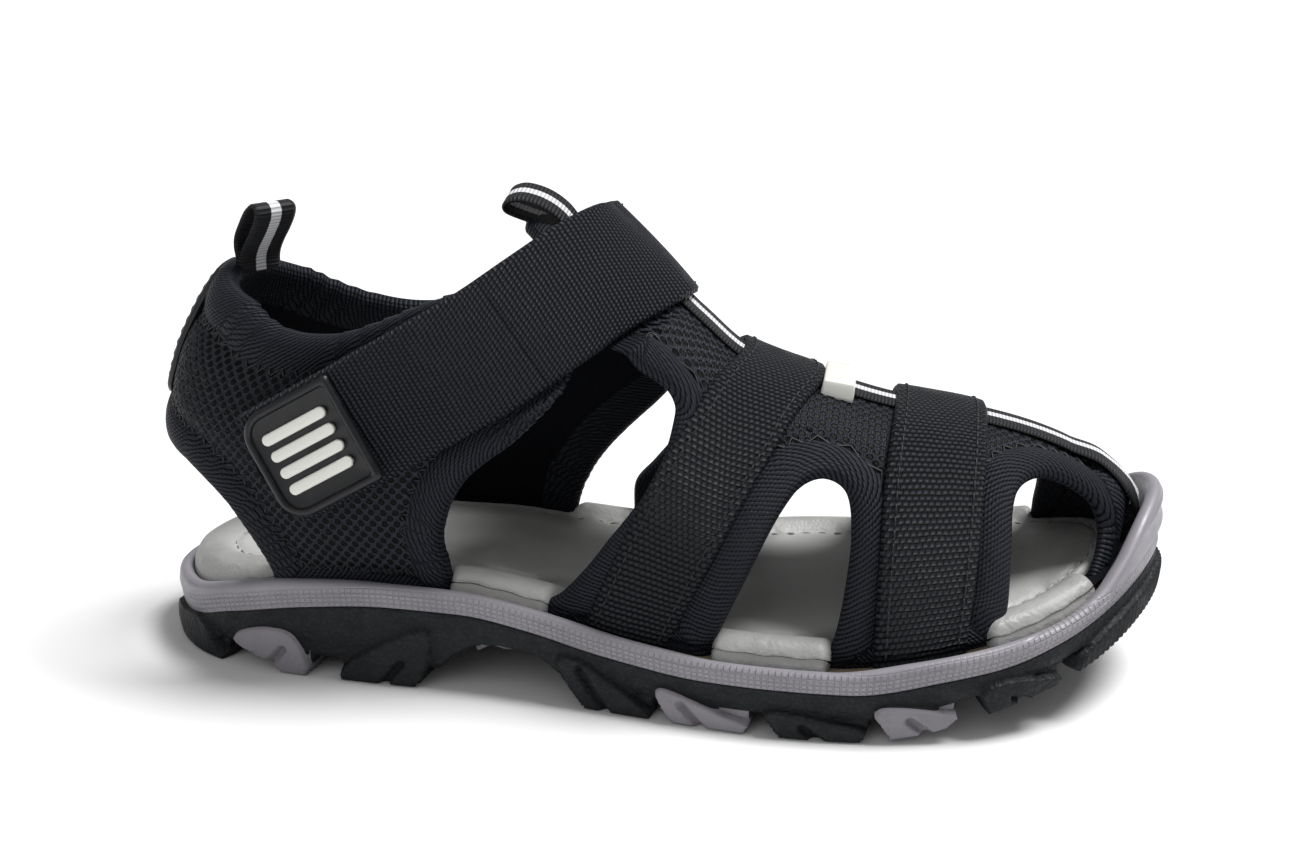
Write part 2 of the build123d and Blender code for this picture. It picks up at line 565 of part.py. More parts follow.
BADGE_LENGTH, BADGE_WIDTH, BADGE_THICKNESS, BADGE_RECESS = 20.5, 25.0, 2.4, 1.0
BAR_LENGTH, BAR_WIDTH, BAR_PITCH = 13.5, 2.1, 4.0
badge_plane = Plane(
    origin=(-67.2, -33.35, 47.9),
    x_dir=Vector(*TIP_PATH[2]) - Vector(*TIP_PATH[0]),
    z_dir=Vector(-0.055, -1, 0.09),
)
with BuildPart() as badge:
    with BuildSketch(badge_plane) as badge_face:
        Rectangle(BADGE_LENGTH, BADGE_WIDTH)
        fillet(badge_face.vertices(), 4.5)
    extrude(amount=BADGE_THICKNESS)
    with BuildSketch(badge_plane.offset(BADGE_THICKNESS)) as badge_field:
        Rectangle(BADGE_LENGTH - 4.4, BADGE_WIDTH - 4.4)
        fillet(badge_field.vertices(), 2.6)
    extrude(amount=-BADGE_RECESS, mode=Mode.SUBTRACT)
    add(ribbon(TIP_PATH, ANKLE_WEBBING_WIDTH + 1, ANKLE_WEBBING + 2 * LAYER_GAP), mode=Mode.SUBTRACT)
save(badge.part, "strap_end_badge")

with BuildPart() as bars:
    with BuildSketch(badge_plane.offset(BADGE_THICKNESS - BADGE_RECESS + LAYER_GAP)):
        with GridLocations(0, BAR_PITCH, 1, 4):
            SlotOverall(BAR_LENGTH, BAR_WIDTH)
    extrude(amount=1.3)
save(bars.part, "badge_bars")


# ---------------------------------------------------------------- pull loops
def pull_loop(plane, outline, crotch, width):
    """A folded tape loop: a closed band of tape round a gap that starts at the crotch."""
    with BuildPart() as loop:
        with BuildSketch(plane):
            with BuildLine():
                Spline(*outline, periodic=True)
            make_face()
        extrude(amount=width / 2, both=True)
        with BuildSketch(plane):
            with BuildLine():
                Spline(crotch, *outline_points(TAPE, outline)[1:-1], periodic=True)
            make_face()
        extrude(amount=width, both=True, mode=Mode.SUBTRACT)
    return loop.part


heel_loop_plane = Plane(origin=(-84, HEEL_Y, 81), x_dir=(0.8, -0.6, 0), z_dir=(-0.6, -0.8, 0))
heel_loop_outline = [(1.0, 0.4), (2.2, 3), (3.9, 6), (4.6, 9.8), (2.2, 11.2), (-1.2, 8.4), (-2.2, 4)]
heel_loop_outline += [(-1.0, 0.4)]
save(pull_loop(heel_loop_plane, heel_loop_outline, (0, 2.2), TAPE_WIDTH), "heel_pull_loop")

tongue_loop_plane = Plane(origin=(-18.5, 1, 84.8), x_dir=(1, 0, 0), z_dir=(0, -1, 0))
tongue_loop_outline = [(1.0, 0.4), (1.2, 4), (-2, 8.6), (-7, 11.9), (-9.6, 10.6), (-8.6, 7.2)]
tongue_loop_outline += [(-4.6, 4), (-1.0, 0.4)]
save(pull_loop(tongue_loop_plane, tongue_loop_outline, (-0.5, 2.4), TAPE_WIDTH), "tongue_pull_loop")

for name, piece in upper.items():
    save(piece, name)
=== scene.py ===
"""Looks for the child's sport sandal: fabric, webbing, rubber and their stitching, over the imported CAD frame.

Shapes are worked out in millimetres in the row frame and turned into metres as each mesh is made.
"""

import math

import bpy
import numpy as np
from mathutils import Matrix, Vector
from mathutils.geometry import delaunay_2d_cdt


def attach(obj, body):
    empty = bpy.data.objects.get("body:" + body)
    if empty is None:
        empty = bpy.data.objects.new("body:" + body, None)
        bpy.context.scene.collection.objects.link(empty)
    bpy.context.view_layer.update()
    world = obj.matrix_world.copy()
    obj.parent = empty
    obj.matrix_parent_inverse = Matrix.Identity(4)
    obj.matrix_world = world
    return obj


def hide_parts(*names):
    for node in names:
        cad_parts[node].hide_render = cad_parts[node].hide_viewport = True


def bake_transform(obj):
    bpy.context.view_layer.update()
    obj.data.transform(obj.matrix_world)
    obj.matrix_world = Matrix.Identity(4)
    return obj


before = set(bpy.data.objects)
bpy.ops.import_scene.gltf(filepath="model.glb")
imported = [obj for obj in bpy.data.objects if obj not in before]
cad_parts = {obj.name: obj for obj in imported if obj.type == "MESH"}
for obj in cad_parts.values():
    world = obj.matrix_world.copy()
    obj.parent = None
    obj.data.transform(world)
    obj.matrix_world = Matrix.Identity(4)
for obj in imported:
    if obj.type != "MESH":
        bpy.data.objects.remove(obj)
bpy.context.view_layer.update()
MM = 0.001
FINE = 1.0


# ---------------------------------------------------------------- curves
def curve(points):
    """A smooth curve through (x, y) points that doesn't overshoot, as a function of an array."""
    xs, ys = np.array(points, float).T
    slopes = np.diff(ys) / np.diff(xs)
    before, after = slopes[:-1], slopes[1:]
    total = np.where(before + after == 0, 1, before + after)
    middle = np.where(before * after > 0, 2 * before * after / total, 0)
    tangents = np.concatenate([slopes[:1], middle, slopes[-1:]])

    def at(x):
        x = np.clip(np.asarray(x, float), xs[0], xs[-1])
        i = np.clip(np.searchsorted(xs, x, side="right") - 1, 0, len(xs) - 2)
        span = xs[i + 1] - xs[i]
        t = (x - xs[i]) / span
        value = (2 * t**3 - 3 * t**2 + 1) * ys[i] + (t**3 - 2 * t**2 + t) * span * tangents[i]
        return value + (3 * t**2 - 2 * t**3) * ys[i + 1] + (t**3 - t**2) * span * tangents[i + 1]

    return at


def smoothstep(low, high, x):
    t = np.clip((np.asarray(x, float) - low) / (high - low), 0, 1)
    return t * t * (3 - 2 * t)


def lengths(points):
    """Distance along a polyline at each of its points."""
    steps = np.linalg.norm(np.diff(points, axis=0), axis=1)
    return np.concatenate([[0], np.cumsum(steps)])


def resample(points, step, closed=False):
    """A polyline with points about a step apart, and the distance along it at each."""
    points = np.array(points, float)
    if closed:
        points = np.vstack([points, points[:1]])
    run = lengths(points)
    count = max(4, int(round(run[-1] / step)))
    at = np.linspace(0, run[-1], count + 1)
    if closed:
        at = at[:-1]
    return np.stack([np.interp(at, run, points[:, k]) for k in range(points.shape[1])], 1), at


def spline(points, closed=False, count=16):
    """A Catmull-Rom curve through the points."""
    points = np.array(points, float)
    if closed:
        ends = points[np.arange(-1, len(points) + 2) % len(points)]
    else:
        ends = np.vstack([2 * points[0] - points[1], points, 2 * points[-1] - points[-2]])
    t = np.linspace(0, 1, count, endpoint=False)[:, None]
    made = []
    for i in range(len(ends) - 3):
        a, b, c, d = ends[i : i + 4]
        bend, twist = 2 * a - 5 * b + 4 * c - d, 3 * b - a - 3 * c + d
        made.append(0.5 * (2 * b + (c - a) * t + bend * t**2 + twist * t**3))
    if not closed:
        made.append(points[-1:])
    return np.vstack(made)


def rounded(points, times=3):
    """A closed polygon with its corners cut round."""
    points = np.array(points, float)
    cut = 0.22  # share of each side taken off at each end
    for _ in range(times):
        after = np.roll(points, -1, axis=0)
        pairs = [points * (1 - cut) + after * cut, points * cut + after * (1 - cut)]
        points = np.stack(pairs, 1).reshape(-1, points.shape[1])
    return points


# ---------------------------------------------------------------- sole lines, as in the CAD model
GROUND = [(-106, 1.6), (-98, 0.3), (-88, 0), (-42, 0), (-12, 0), (42, 0), (55, 1.6), (66, 4.6), (80, 8.6)]
GROUND += [(92, 13), (106, 19.5)]
INTERFACE = [(-106, 6), (-96, 7.4), (-85, 11.2), (-68, 14.9), (-50, 16.6), (-36, 16.4), (-22, 14.4), (-6, 11.5)]
INTERFACE += [(14, 9.5), (42, 9.5), (60, 12.3), (72, 14.4), (82, 17.4), (90, 20.4), (98, 24), (106, 27.5)]
RIM = [(-106, 13.5), (-96, 14.4), (-86, 17.2), (-72, 20.2), (-55, 21.3), (-38, 21), (-20, 18.6), (0, 15.2), (18, 13.6)]
RIM += [(38, 13.6), (54, 15.9), (72, 18.9), (82, 21.2), (89, 24.4), (94, 29.2), (99, 35.6), (106, 41.5)]
FOOTBED = [(-106, 17.6), (-90, 19.4), (-72, 21.8), (-52, 23.4), (-36, 23.4), (-18, 21.4), (0, 18.8), (18, 17.2)]
FOOTBED += [(40, 17.3), (56, 19.4), (72, 22.4), (84, 25.6), (95, 29.8), (106, 34.5)]
OUTLINE = [(-103, -2), (-100, -13), (-92, -22.5), (-78, -28.5), (-55, -31), (-25, -32.5), (0, -37), (25, -41)]
OUTLINE += [(48, -40.5), (68, -35.5), (82, -27.5), (92, -17), (99.5, -4), (103, 9), (100.5, 21), (92, 31)]
OUTLINE += [(78, 37.5), (55, 41), (30, 39.5), (5, 33), (-20, 28), (-45, 27), (-70, 28), (-88, 23.5), (-99, 11)]
TOE = OUTLINE.index((103, 9))
ground, interface, rim_top, footbed_top = (curve(c) for c in (GROUND, INTERFACE, RIM, FOOTBED))


def coarse_outline(inset):
    points = np.array(OUTLINE, float)
    run = np.roll(points, -1, axis=0) - np.roll(points, 1, axis=0)
    run /= np.linalg.norm(run, axis=1, keepdims=True)
    return points + np.stack([-run[:, 1], run[:, 0]], 1) * inset


def outline_y(x, side, inset):
    """Where the sole's outline, moved in by inset, is at x on one side."""
    points = coarse_outline(inset)
    near = points[: TOE + 1] if side < 0 else np.vstack([points[:1], points[TOE:][::-1]])
    return curve(near)(x)


sole_line, sole_run = resample(spline(OUTLINE, closed=True, count=40), 0.9 * FINE, closed=True)
toe_at = int(np.argmax(sole_line[:, 0]))
sole_out = np.roll(sole_line, -1, axis=0) - np.roll(sole_line, 1, axis=0)
sole_out /= np.linalg.norm(sole_out, axis=1, keepdims=True)
sole_out = np.stack([sole_out[:, 1], -sole_out[:, 0]], 1)
sole_length = sole_run[-1] + np.linalg.norm(sole_line[0] - sole_line[-1])


def sole_at(s):
    """Point and outward direction on the sole's outline at a distance along it."""
    s = np.mod(s, sole_length)
    line = np.vstack([sole_line, sole_line[:1]])
    out = np.vstack([sole_out, sole_out[:1]])
    run = np.append(sole_run, sole_length)
    point = np.stack([np.interp(s, run, line[:, k]) for k in (0, 1)], -1)
    away = np.stack([np.interp(s, run, out[:, k]) for k in (0, 1)], -1)
    return point, away / np.linalg.norm(away, axis=-1, keepdims=True)


# ---------------------------------------------------------------- forms the upper is shaped over
LASTING = 6.05  # how far inside the sole's outline the forms stand
BASE = 9.0  # height of the forms' lowest line
ridge_top = curve(
    [(-40, 91.5), (-25, 89.6), (-11, 85.4), (-2.5, 80.5), (7.5, 71.6), (17, 64), (35, 58.3), (47, 55), (66, 51.6)]
    + [(81, 46.8), (89, 42.6), (94, 38.6), (98, 33)]
)
ridge_y = curve([(-40, 0), (20, 0), (40, 1), (66, 5), (81, 8), (98, 9)])
ankle_swell = curve([(-36, 0.5), (-26, 0.45), (-5, 0.3), (10, 0.15), (30, 0)])
heel_back = curve([(2, -98.5), (20, -99), (35, -101), (48, -101.4), (60, -98.6), (70, -94), (80, -87.5), (92, -79)])
heel_half = curve([(2, 25.2), (20, 25.2), (35, 26.4), (48, 27), (60, 25.6), (70, 23.4), (80, 21), (92, 18.5)])
HEEL_Y = -2.0  # the middle of the heel


def fore_raw(x, turn):
    """A point on the forefoot form. turn is 0 at the outer side, 90 on the ridge, 180 inside."""
    x, turn = np.broadcast_arrays(np.asarray(x, float), np.asarray(turn, float))
    around = np.radians(turn)
    edge = np.where(turn <= 90, outline_y(x, -1, LASTING), outline_y(x, 1, LASTING))
    lean = np.abs(np.cos(around)) ** 0.8 * (1 + ankle_swell(x) * np.sin(around))
    middle = ridge_y(x)
    return np.stack([x, middle + (edge - middle) * lean, BASE + (ridge_top(x) - BASE) * np.sin(around)], -1)


def distances(steps, middle):
    """Running totals of the steps in each row, counted from the middle column."""
    run = np.concatenate([np.zeros((len(steps), 1)), np.cumsum(steps, axis=1)], 1)
    return run - run[:, [middle]]


def turn_at(table, turns, at, run):
    """The turn at which a table of distances reaches run; at is its row, which may be between two."""
    shape = run.shape
    at, run = np.clip(at.ravel(), 0, len(table) - 1.001), run.ravel()
    i = at.astype(int)
    share = (at - i)[:, None]
    rows = table[i] * (1 - share) + table[i + 1] * share
    j = np.clip((rows <= run[:, None]).sum(1) - 1, 0, rows.shape[1] - 2)
    pick = np.arange(len(run))
    low, high = rows[pick, j], rows[pick, j + 1]
    return (turns[j] + (run - low) / (high - low) * (turns[1] - turns[0])).reshape(shape)


FORE_X = np.arange(-42, 98.6, 1.0)
FORE_TURN = np.linspace(-6, 186, 193)
FORE_RIDGE = 96  # the column of FORE_TURN that is at 90 degrees
fore_grid = fore_raw(FORE_X[:, None], FORE_TURN[None, :])
fore_v = distances(np.linalg.norm(np.diff(fore_grid, axis=1), axis=2), FORE_RIDGE)


def fore_turn(x, v):
    """The turn at which the arc length from the ridge is v, at x."""
    x, v = np.broadcast_arrays(np.asarray(x, float), np.asarray(v, float))
    return turn_at(fore_v, FORE_TURN, x - FORE_X[0], v)


def fore_v_at(x, z, side):
    """Arc length from the ridge at which the form reaches height z on one side."""
    x, z = np.broadcast_arrays(np.asarray(x, float), np.asarray(z, float))
    up = np.clip((z - BASE) / (ridge_top(x) - BASE), -0.1, 1)
    turn = np.degrees(np.arcsin(up))
    turn = np.where(side < 0, turn, 180 - turn)
    at = np.clip(x - FORE_X[0], 0, len(FORE_X) - 1.001)
    i = at.astype(int)
    share = at - i
    k = (turn - FORE_TURN[0]) / (FORE_TURN[1] - FORE_TURN[0])
    j = np.clip(k.astype(int), 0, len(FORE_TURN) - 2)
    f = k - j
    low = fore_v[i, j] * (1 - f) + fore_v[i, j + 1] * f
    high = fore_v[i + 1, j] * (1 - f) + fore_v[i + 1, j + 1] * f
    return low * (1 - share) + high * share


def with_normals(place, sign=1):
    """Turns a function of two domain coordinates into one that also gives outward normals."""

    def made(p, q):
        step = 0.25
        here = place(p, q)
        along = place(p + step, q) - place(p - step, q)
        across = place(p, q + step) - place(p, q - step)
        normal = np.cross(along, across) * sign
        size = np.linalg.norm(normal, axis=-1, keepdims=True)
        return here, normal / np.where(size == 0, 1, size)

    return made


fore = with_normals(lambda x, v: fore_raw(x, fore_turn(x, v)))


def heel_plan(turn, z):
    """Plan position on the heel form: turn 90 is the middle of the back, below 0 or over 180 the straight sides."""
    turn, z = np.broadcast_arrays(np.asarray(turn, float), np.asarray(z, float))
    back, half = heel_back(z), heel_half(z)
    depth = half + 12
    bend = np.clip(turn, 0, 180)
    straight = np.maximum(0, -turn) + np.maximum(0, turn - 180)
    x = back + depth - depth * np.sin(np.radians(bend)) ** 0.9 + straight * 0.9
    reach = np.abs(np.cos(np.radians(bend))) ** 0.72 * np.sign(np.cos(np.radians(bend)))
    y = HEEL_Y - half * reach
    side = np.where(turn < 90, -1, 1)
    up = np.clip((z - BASE) / (ridge_top(x) - BASE), 0, 0.9985)
    edge = np.where(side < 0, outline_y(x, -1, LASTING), outline_y(x, 1, LASTING))
    lean = np.sqrt(1 - up**2) ** 0.8 * (1 + ankle_swell(x) * up)
    middle = ridge_y(x)
    share = smoothstep(-40, -12, x)
    return x, y * (1 - share) + (middle + (edge - middle) * lean) * share


HEEL_STEP = 1.5
HEEL_Z = np.arange(0, 97, HEEL_STEP)
HEEL_TURN = np.linspace(-90, 270, 361)
HEEL_BACK = 180  # the column of HEEL_TURN that is at 90 degrees
heel_x, heel_y = heel_plan(HEEL_TURN[None, :], HEEL_Z[:, None])
heel_run = distances(np.hypot(np.diff(heel_x, axis=1), np.diff(heel_y, axis=1)), HEEL_BACK)


def heel_place(s, z):
    """A point on the heel form at a distance round it from its back, at height z."""
    s, z = np.broadcast_arrays(np.asarray(s, float), np.asarray(z, float))
    x, y = heel_plan(turn_at(heel_run, HEEL_TURN, z / HEEL_STEP, s), z)
    return np.stack([x, y, np.broadcast_to(z, x.shape)], -1)


heel = with_normals(heel_place, -1)


def heel_s_at(x, z, side):
    """Distance round the heel from its back at which it reaches x on one side, at height z."""
    made = []
    for px, pz in zip(np.atleast_1d(x), np.atleast_1d(z)):
        i = min(len(HEEL_Z) - 1, max(0, int(round(pz / HEEL_STEP))))
        half = np.s_[i, HEEL_BACK::side]
        made.append(np.interp(px, heel_x[half], heel_run[half]))
    return np.array(made)


# ---------------------------------------------------------------- mesh builders
def write_uv(mesh, name, values):
    """Stores one (u, v) per point of a mesh in a new layer."""
    corner = np.zeros(len(mesh.loops), np.int32)
    mesh.loops.foreach_get("vertex_index", corner)
    layer = mesh.uv_layers.new(name=name)
    layer.data.foreach_set("uv", np.asarray(values, np.float32)[corner].ravel())


def make_mesh(name, points, faces, materials=(), uvs=None, face_slots=None):
    """A mesh object from points in millimetres. uvs maps a layer name to one (u, v) per point."""
    mesh = bpy.data.meshes.new(name)
    mesh.from_pydata((np.asarray(points, float) * MM).tolist(), [], [list(map(int, f)) for f in faces])
    for layer, values in (uvs or {}).items():
        write_uv(mesh, layer, values)
    mesh.polygons.foreach_set("use_smooth", np.ones(len(mesh.polygons), bool))
    for item in materials:
        mesh.materials.append(item)
    if face_slots is not None:
        mesh.polygons.foreach_set("material_index", np.asarray(face_slots, np.int32))
    mesh.update()
    made = bpy.data.objects.new(name, mesh)
    bpy.context.scene.collection.objects.link(made)
    return made


def inside(points, ring):
    """Whether each point is inside a closed polygon."""
    x, y = points[:, :1], points[:, 1:]
    a, b = ring, np.roll(ring, -1, axis=0)
    crosses = (a[:, 1] > y) != (b[:, 1] > y)
    rise = np.where(b[:, 1] == a[:, 1], 1, b[:, 1] - a[:, 1])
    at = a[:, 0] + (y - a[:, 1]) * (b[:, 0] - a[:, 0]) / rise
    return (crosses & (x < at)).sum(1) % 2 == 1


def edge_distance(points, ring, run):
    """Distance from each point to a closed polygon, and where along it the nearest place is."""
    a, b = ring, np.roll(ring, -1, axis=0)
    ab = b - a
    size = np.maximum((ab**2).sum(1), 1e-12)
    nearest, along = [], []
    for i in range(0, len(points), 4000):
        p = points[i : i + 4000, None, :]
        t = np.clip(((p - a) * ab).sum(-1) / size, 0, 1)
        away = np.linalg.norm(p - (a + ab * t[..., None]), axis=-1)
        k = away.argmin(1)
        rows = np.arange(len(k))
        nearest.append(away[rows, k])
        along.append(run[k] + t[rows, k] * np.sqrt(size[k]))
    return np.concatenate(nearest), np.concatenate(along)


def facing_in(outline, step):
    """A closed outline run anticlockwise, the distance along it and the inward direction at each point."""
    ring, run = resample(outline, step, closed=True)
    area = ring[:, 0] * np.roll(ring[:, 1], -1) - ring[:, 1] * np.roll(ring[:, 0], -1)
    if area.sum() < 0:
        ring, run = resample(ring[::-1].copy(), step, closed=True)
    lead = np.roll(ring, -1, axis=0) - np.roll(ring, 1, axis=0)
    lead /= np.linalg.norm(lead, axis=1, keepdims=True)
    return ring, run, np.stack([-lead[:, 1], lead[:, 0]], 1)


ROWS = (0.25, 0.7, 1.3, 2.0, 2.8, 3.6, 4.4, 5.2, 6.0, 6.7, 7.3, 7.8, 8.3, 8.9, 9.6)


def triangulate(outline, spacing, rows):
    """Fills a closed outline with a fine mesh whose outer rows follow its edge.

    Gives points, triangles, edge distance and where along the edge the nearest place is."""
    ring, run, inward = facing_in(outline, spacing * 0.9)
    kept = []
    for row in rows:
        offset = ring + inward * row
        offset = offset[inside(offset, ring)]
        if len(offset):
            away, _ = edge_distance(offset, ring, run)
            kept.append(offset[away > row * 0.93])
    low, high = ring.min(0), ring.max(0)
    row_height = spacing * 0.87
    grid = np.stack(np.meshgrid(np.arange(low[0], high[0], spacing), np.arange(low[1], high[1], row_height)), -1)
    grid[1::2, :, 0] += spacing / 2
    grid = grid.reshape(-1, 2)
    grid = grid[inside(grid, ring)]
    away, _ = edge_distance(grid, ring, run)
    kept.append(grid[away > (rows[-1] + spacing * 0.6 if rows else spacing * 0.6)])
    points = np.vstack([ring, *kept])
    made = delaunay_2d_cdt([Vector(p) for p in points], [], [list(range(len(ring)))], 1, 1e-6)
    flat = np.array([tuple(v) for v in made[0]], float)
    faces = np.array([f for f in made[2] if len(f) == 3], int)
    away, along = edge_distance(flat, ring, run)
    away[away < 1e-4] = 0
    a, b, c = flat[faces[:, 0]], flat[faces[:, 1]], flat[faces[:, 2]]
    turned = (b[:, 0] - a[:, 0]) * (c[:, 1] - a[:, 1]) - (b[:, 1] - a[:, 1]) * (c[:, 0] - a[:, 0]) < 0
    faces[turned] = faces[turned][:, ::-1]
    return flat, faces, away, along


def panel(
    name, outline, surface, outer, inner, materials, binding=None, spacing=0.9, rows=ROWS,
    flip=False, round_edge=1.6, shape=lambda points: points,
):
    """A soft panel cut to an outline and laid on a surface, thick between two offsets and closed at its edge.

    outer and inner give the offset of each face from the surface by edge distance and domain position.
    materials are for the binding, the field and the back. shape moves the finished points."""
    flat, faces, away, along = triangulate(outline, spacing * FINE, [r for r in rows if FINE == 1 or r > 1])
    place, normal = surface(flat[:, 0], flat[:, 1])
    top, bottom = outer(away, flat), inner(away, flat)
    middle = (top + bottom) / 2
    share = np.sqrt(np.clip(1 - (1 - np.clip(away / round_edge, 0, 1)) ** 2, 0, 1))
    upper_face = place + normal * (middle + (top - middle) * share)[:, None]
    lower_face = place + normal * (middle + (bottom - middle) * share)[:, None]
    upper_face, lower_face = shape(upper_face), shape(lower_face)
    rim = away == 0
    below = np.where(rim, np.arange(len(flat)), len(flat) + np.cumsum(~rim) - 1)
    points = np.vstack([upper_face, lower_face[~rim]])
    back = below[faces][:, ::-1]
    front = faces[:, ::-1] if flip else faces
    back = back[:, ::-1] if flip else back
    both = np.vstack([front, back])
    uv_flat = np.vstack([flat, flat[~rim]])
    uv_rim = np.stack([np.concatenate([along, along[~rim]]), np.concatenate([away, away[~rim]])], 1)
    depth = away[faces].mean(1)
    slots = np.zeros(len(faces), int) if binding is None else (depth > binding).astype(int)
    slots = np.concatenate([slots, np.where(slots == 0, 0 if binding else 2, 2)])
    return make_mesh(name, points, both, materials, {"flat": uv_flat, "rim": uv_rim}, slots)


def row_faces(n, m, closed=True, caps=True):
    """Faces between n rows of m points, closed round each row and capped at both ends where that is set."""
    i, j = np.meshgrid(np.arange(n - 1), np.arange(m if closed else m - 1), indexing="ij")
    a, b = i * m + j, i * m + (j + 1) % m
    faces = np.stack([a, b, b + m, a + m], -1).reshape(-1, 4).tolist()
    if caps:
        faces.append(list(range(m))[::-1])
        faces.append([(n - 1) * m + k for k in range(m)])
    return faces


def strip(name, rows, materials, uvs=None, closed=False, caps=False):
    """A surface through rows of points; each row is a closed cross-section when closed is set."""
    rows = np.asarray(rows, float)
    faces = row_faces(*rows.shape[:2], closed, caps)
    return make_mesh(name, rows.reshape(-1, 3), faces, materials, uvs)


def tube(points, radius, sides=6):
    """Points and faces of a thin round thread along a path."""
    points = np.asarray(points, float)
    lead = np.gradient(points, axis=0)
    lead /= np.maximum(np.linalg.norm(lead, axis=1, keepdims=True), 1e-9)
    guide = np.where(np.abs(lead[:, 2:]) > 0.9, [[1.0, 0, 0]], [[0, 0, 1.0]])
    side = np.cross(lead, guide)
    side /= np.linalg.norm(side, axis=1, keepdims=True)
    up = np.cross(side, lead)
    turns = np.arange(sides) * 2 * math.pi / sides
    size = np.broadcast_to(radius, (len(points),))[:, None, None]
    ring = side[:, None] * np.cos(turns)[None, :, None] + up[:, None] * np.sin(turns)[None, :, None]
    grid = points[:, None] + ring * size
    return grid.reshape(-1, 3), row_faces(len(points), sides)


def threads(name, paths, radius, material, sides=6):
    """One mesh of many short threads."""
    points, faces, start = [], [], 0
    for path in paths:
        p, f = tube(path, radius, sides)
        points.append(p)
        faces.extend(tuple(k + start for k in face) for face in f)
        start += len(p)
    return make_mesh(name, np.vstack(points), faces, [material])


def stitches(path, normals, length, gap, sink=0.12, rise=0.25):
    """Centre lines of separate stitches along a line on a surface: each dips in at both ends."""
    run = lengths(path)
    made = []
    at = gap
    while at + length < run[-1]:
        t = at + np.linspace(0, length, 7)
        point = np.stack([np.interp(t, run, path[:, k]) for k in range(3)], 1)
        out = np.stack([np.interp(t, run, normals[:, k]) for k in range(3)], 1)
        lift = -sink + (rise + sink) * np.sin(np.linspace(0, math.pi, 7)) ** 0.5
        made.append(point + out * lift[:, None])
        at += length + gap
    return made


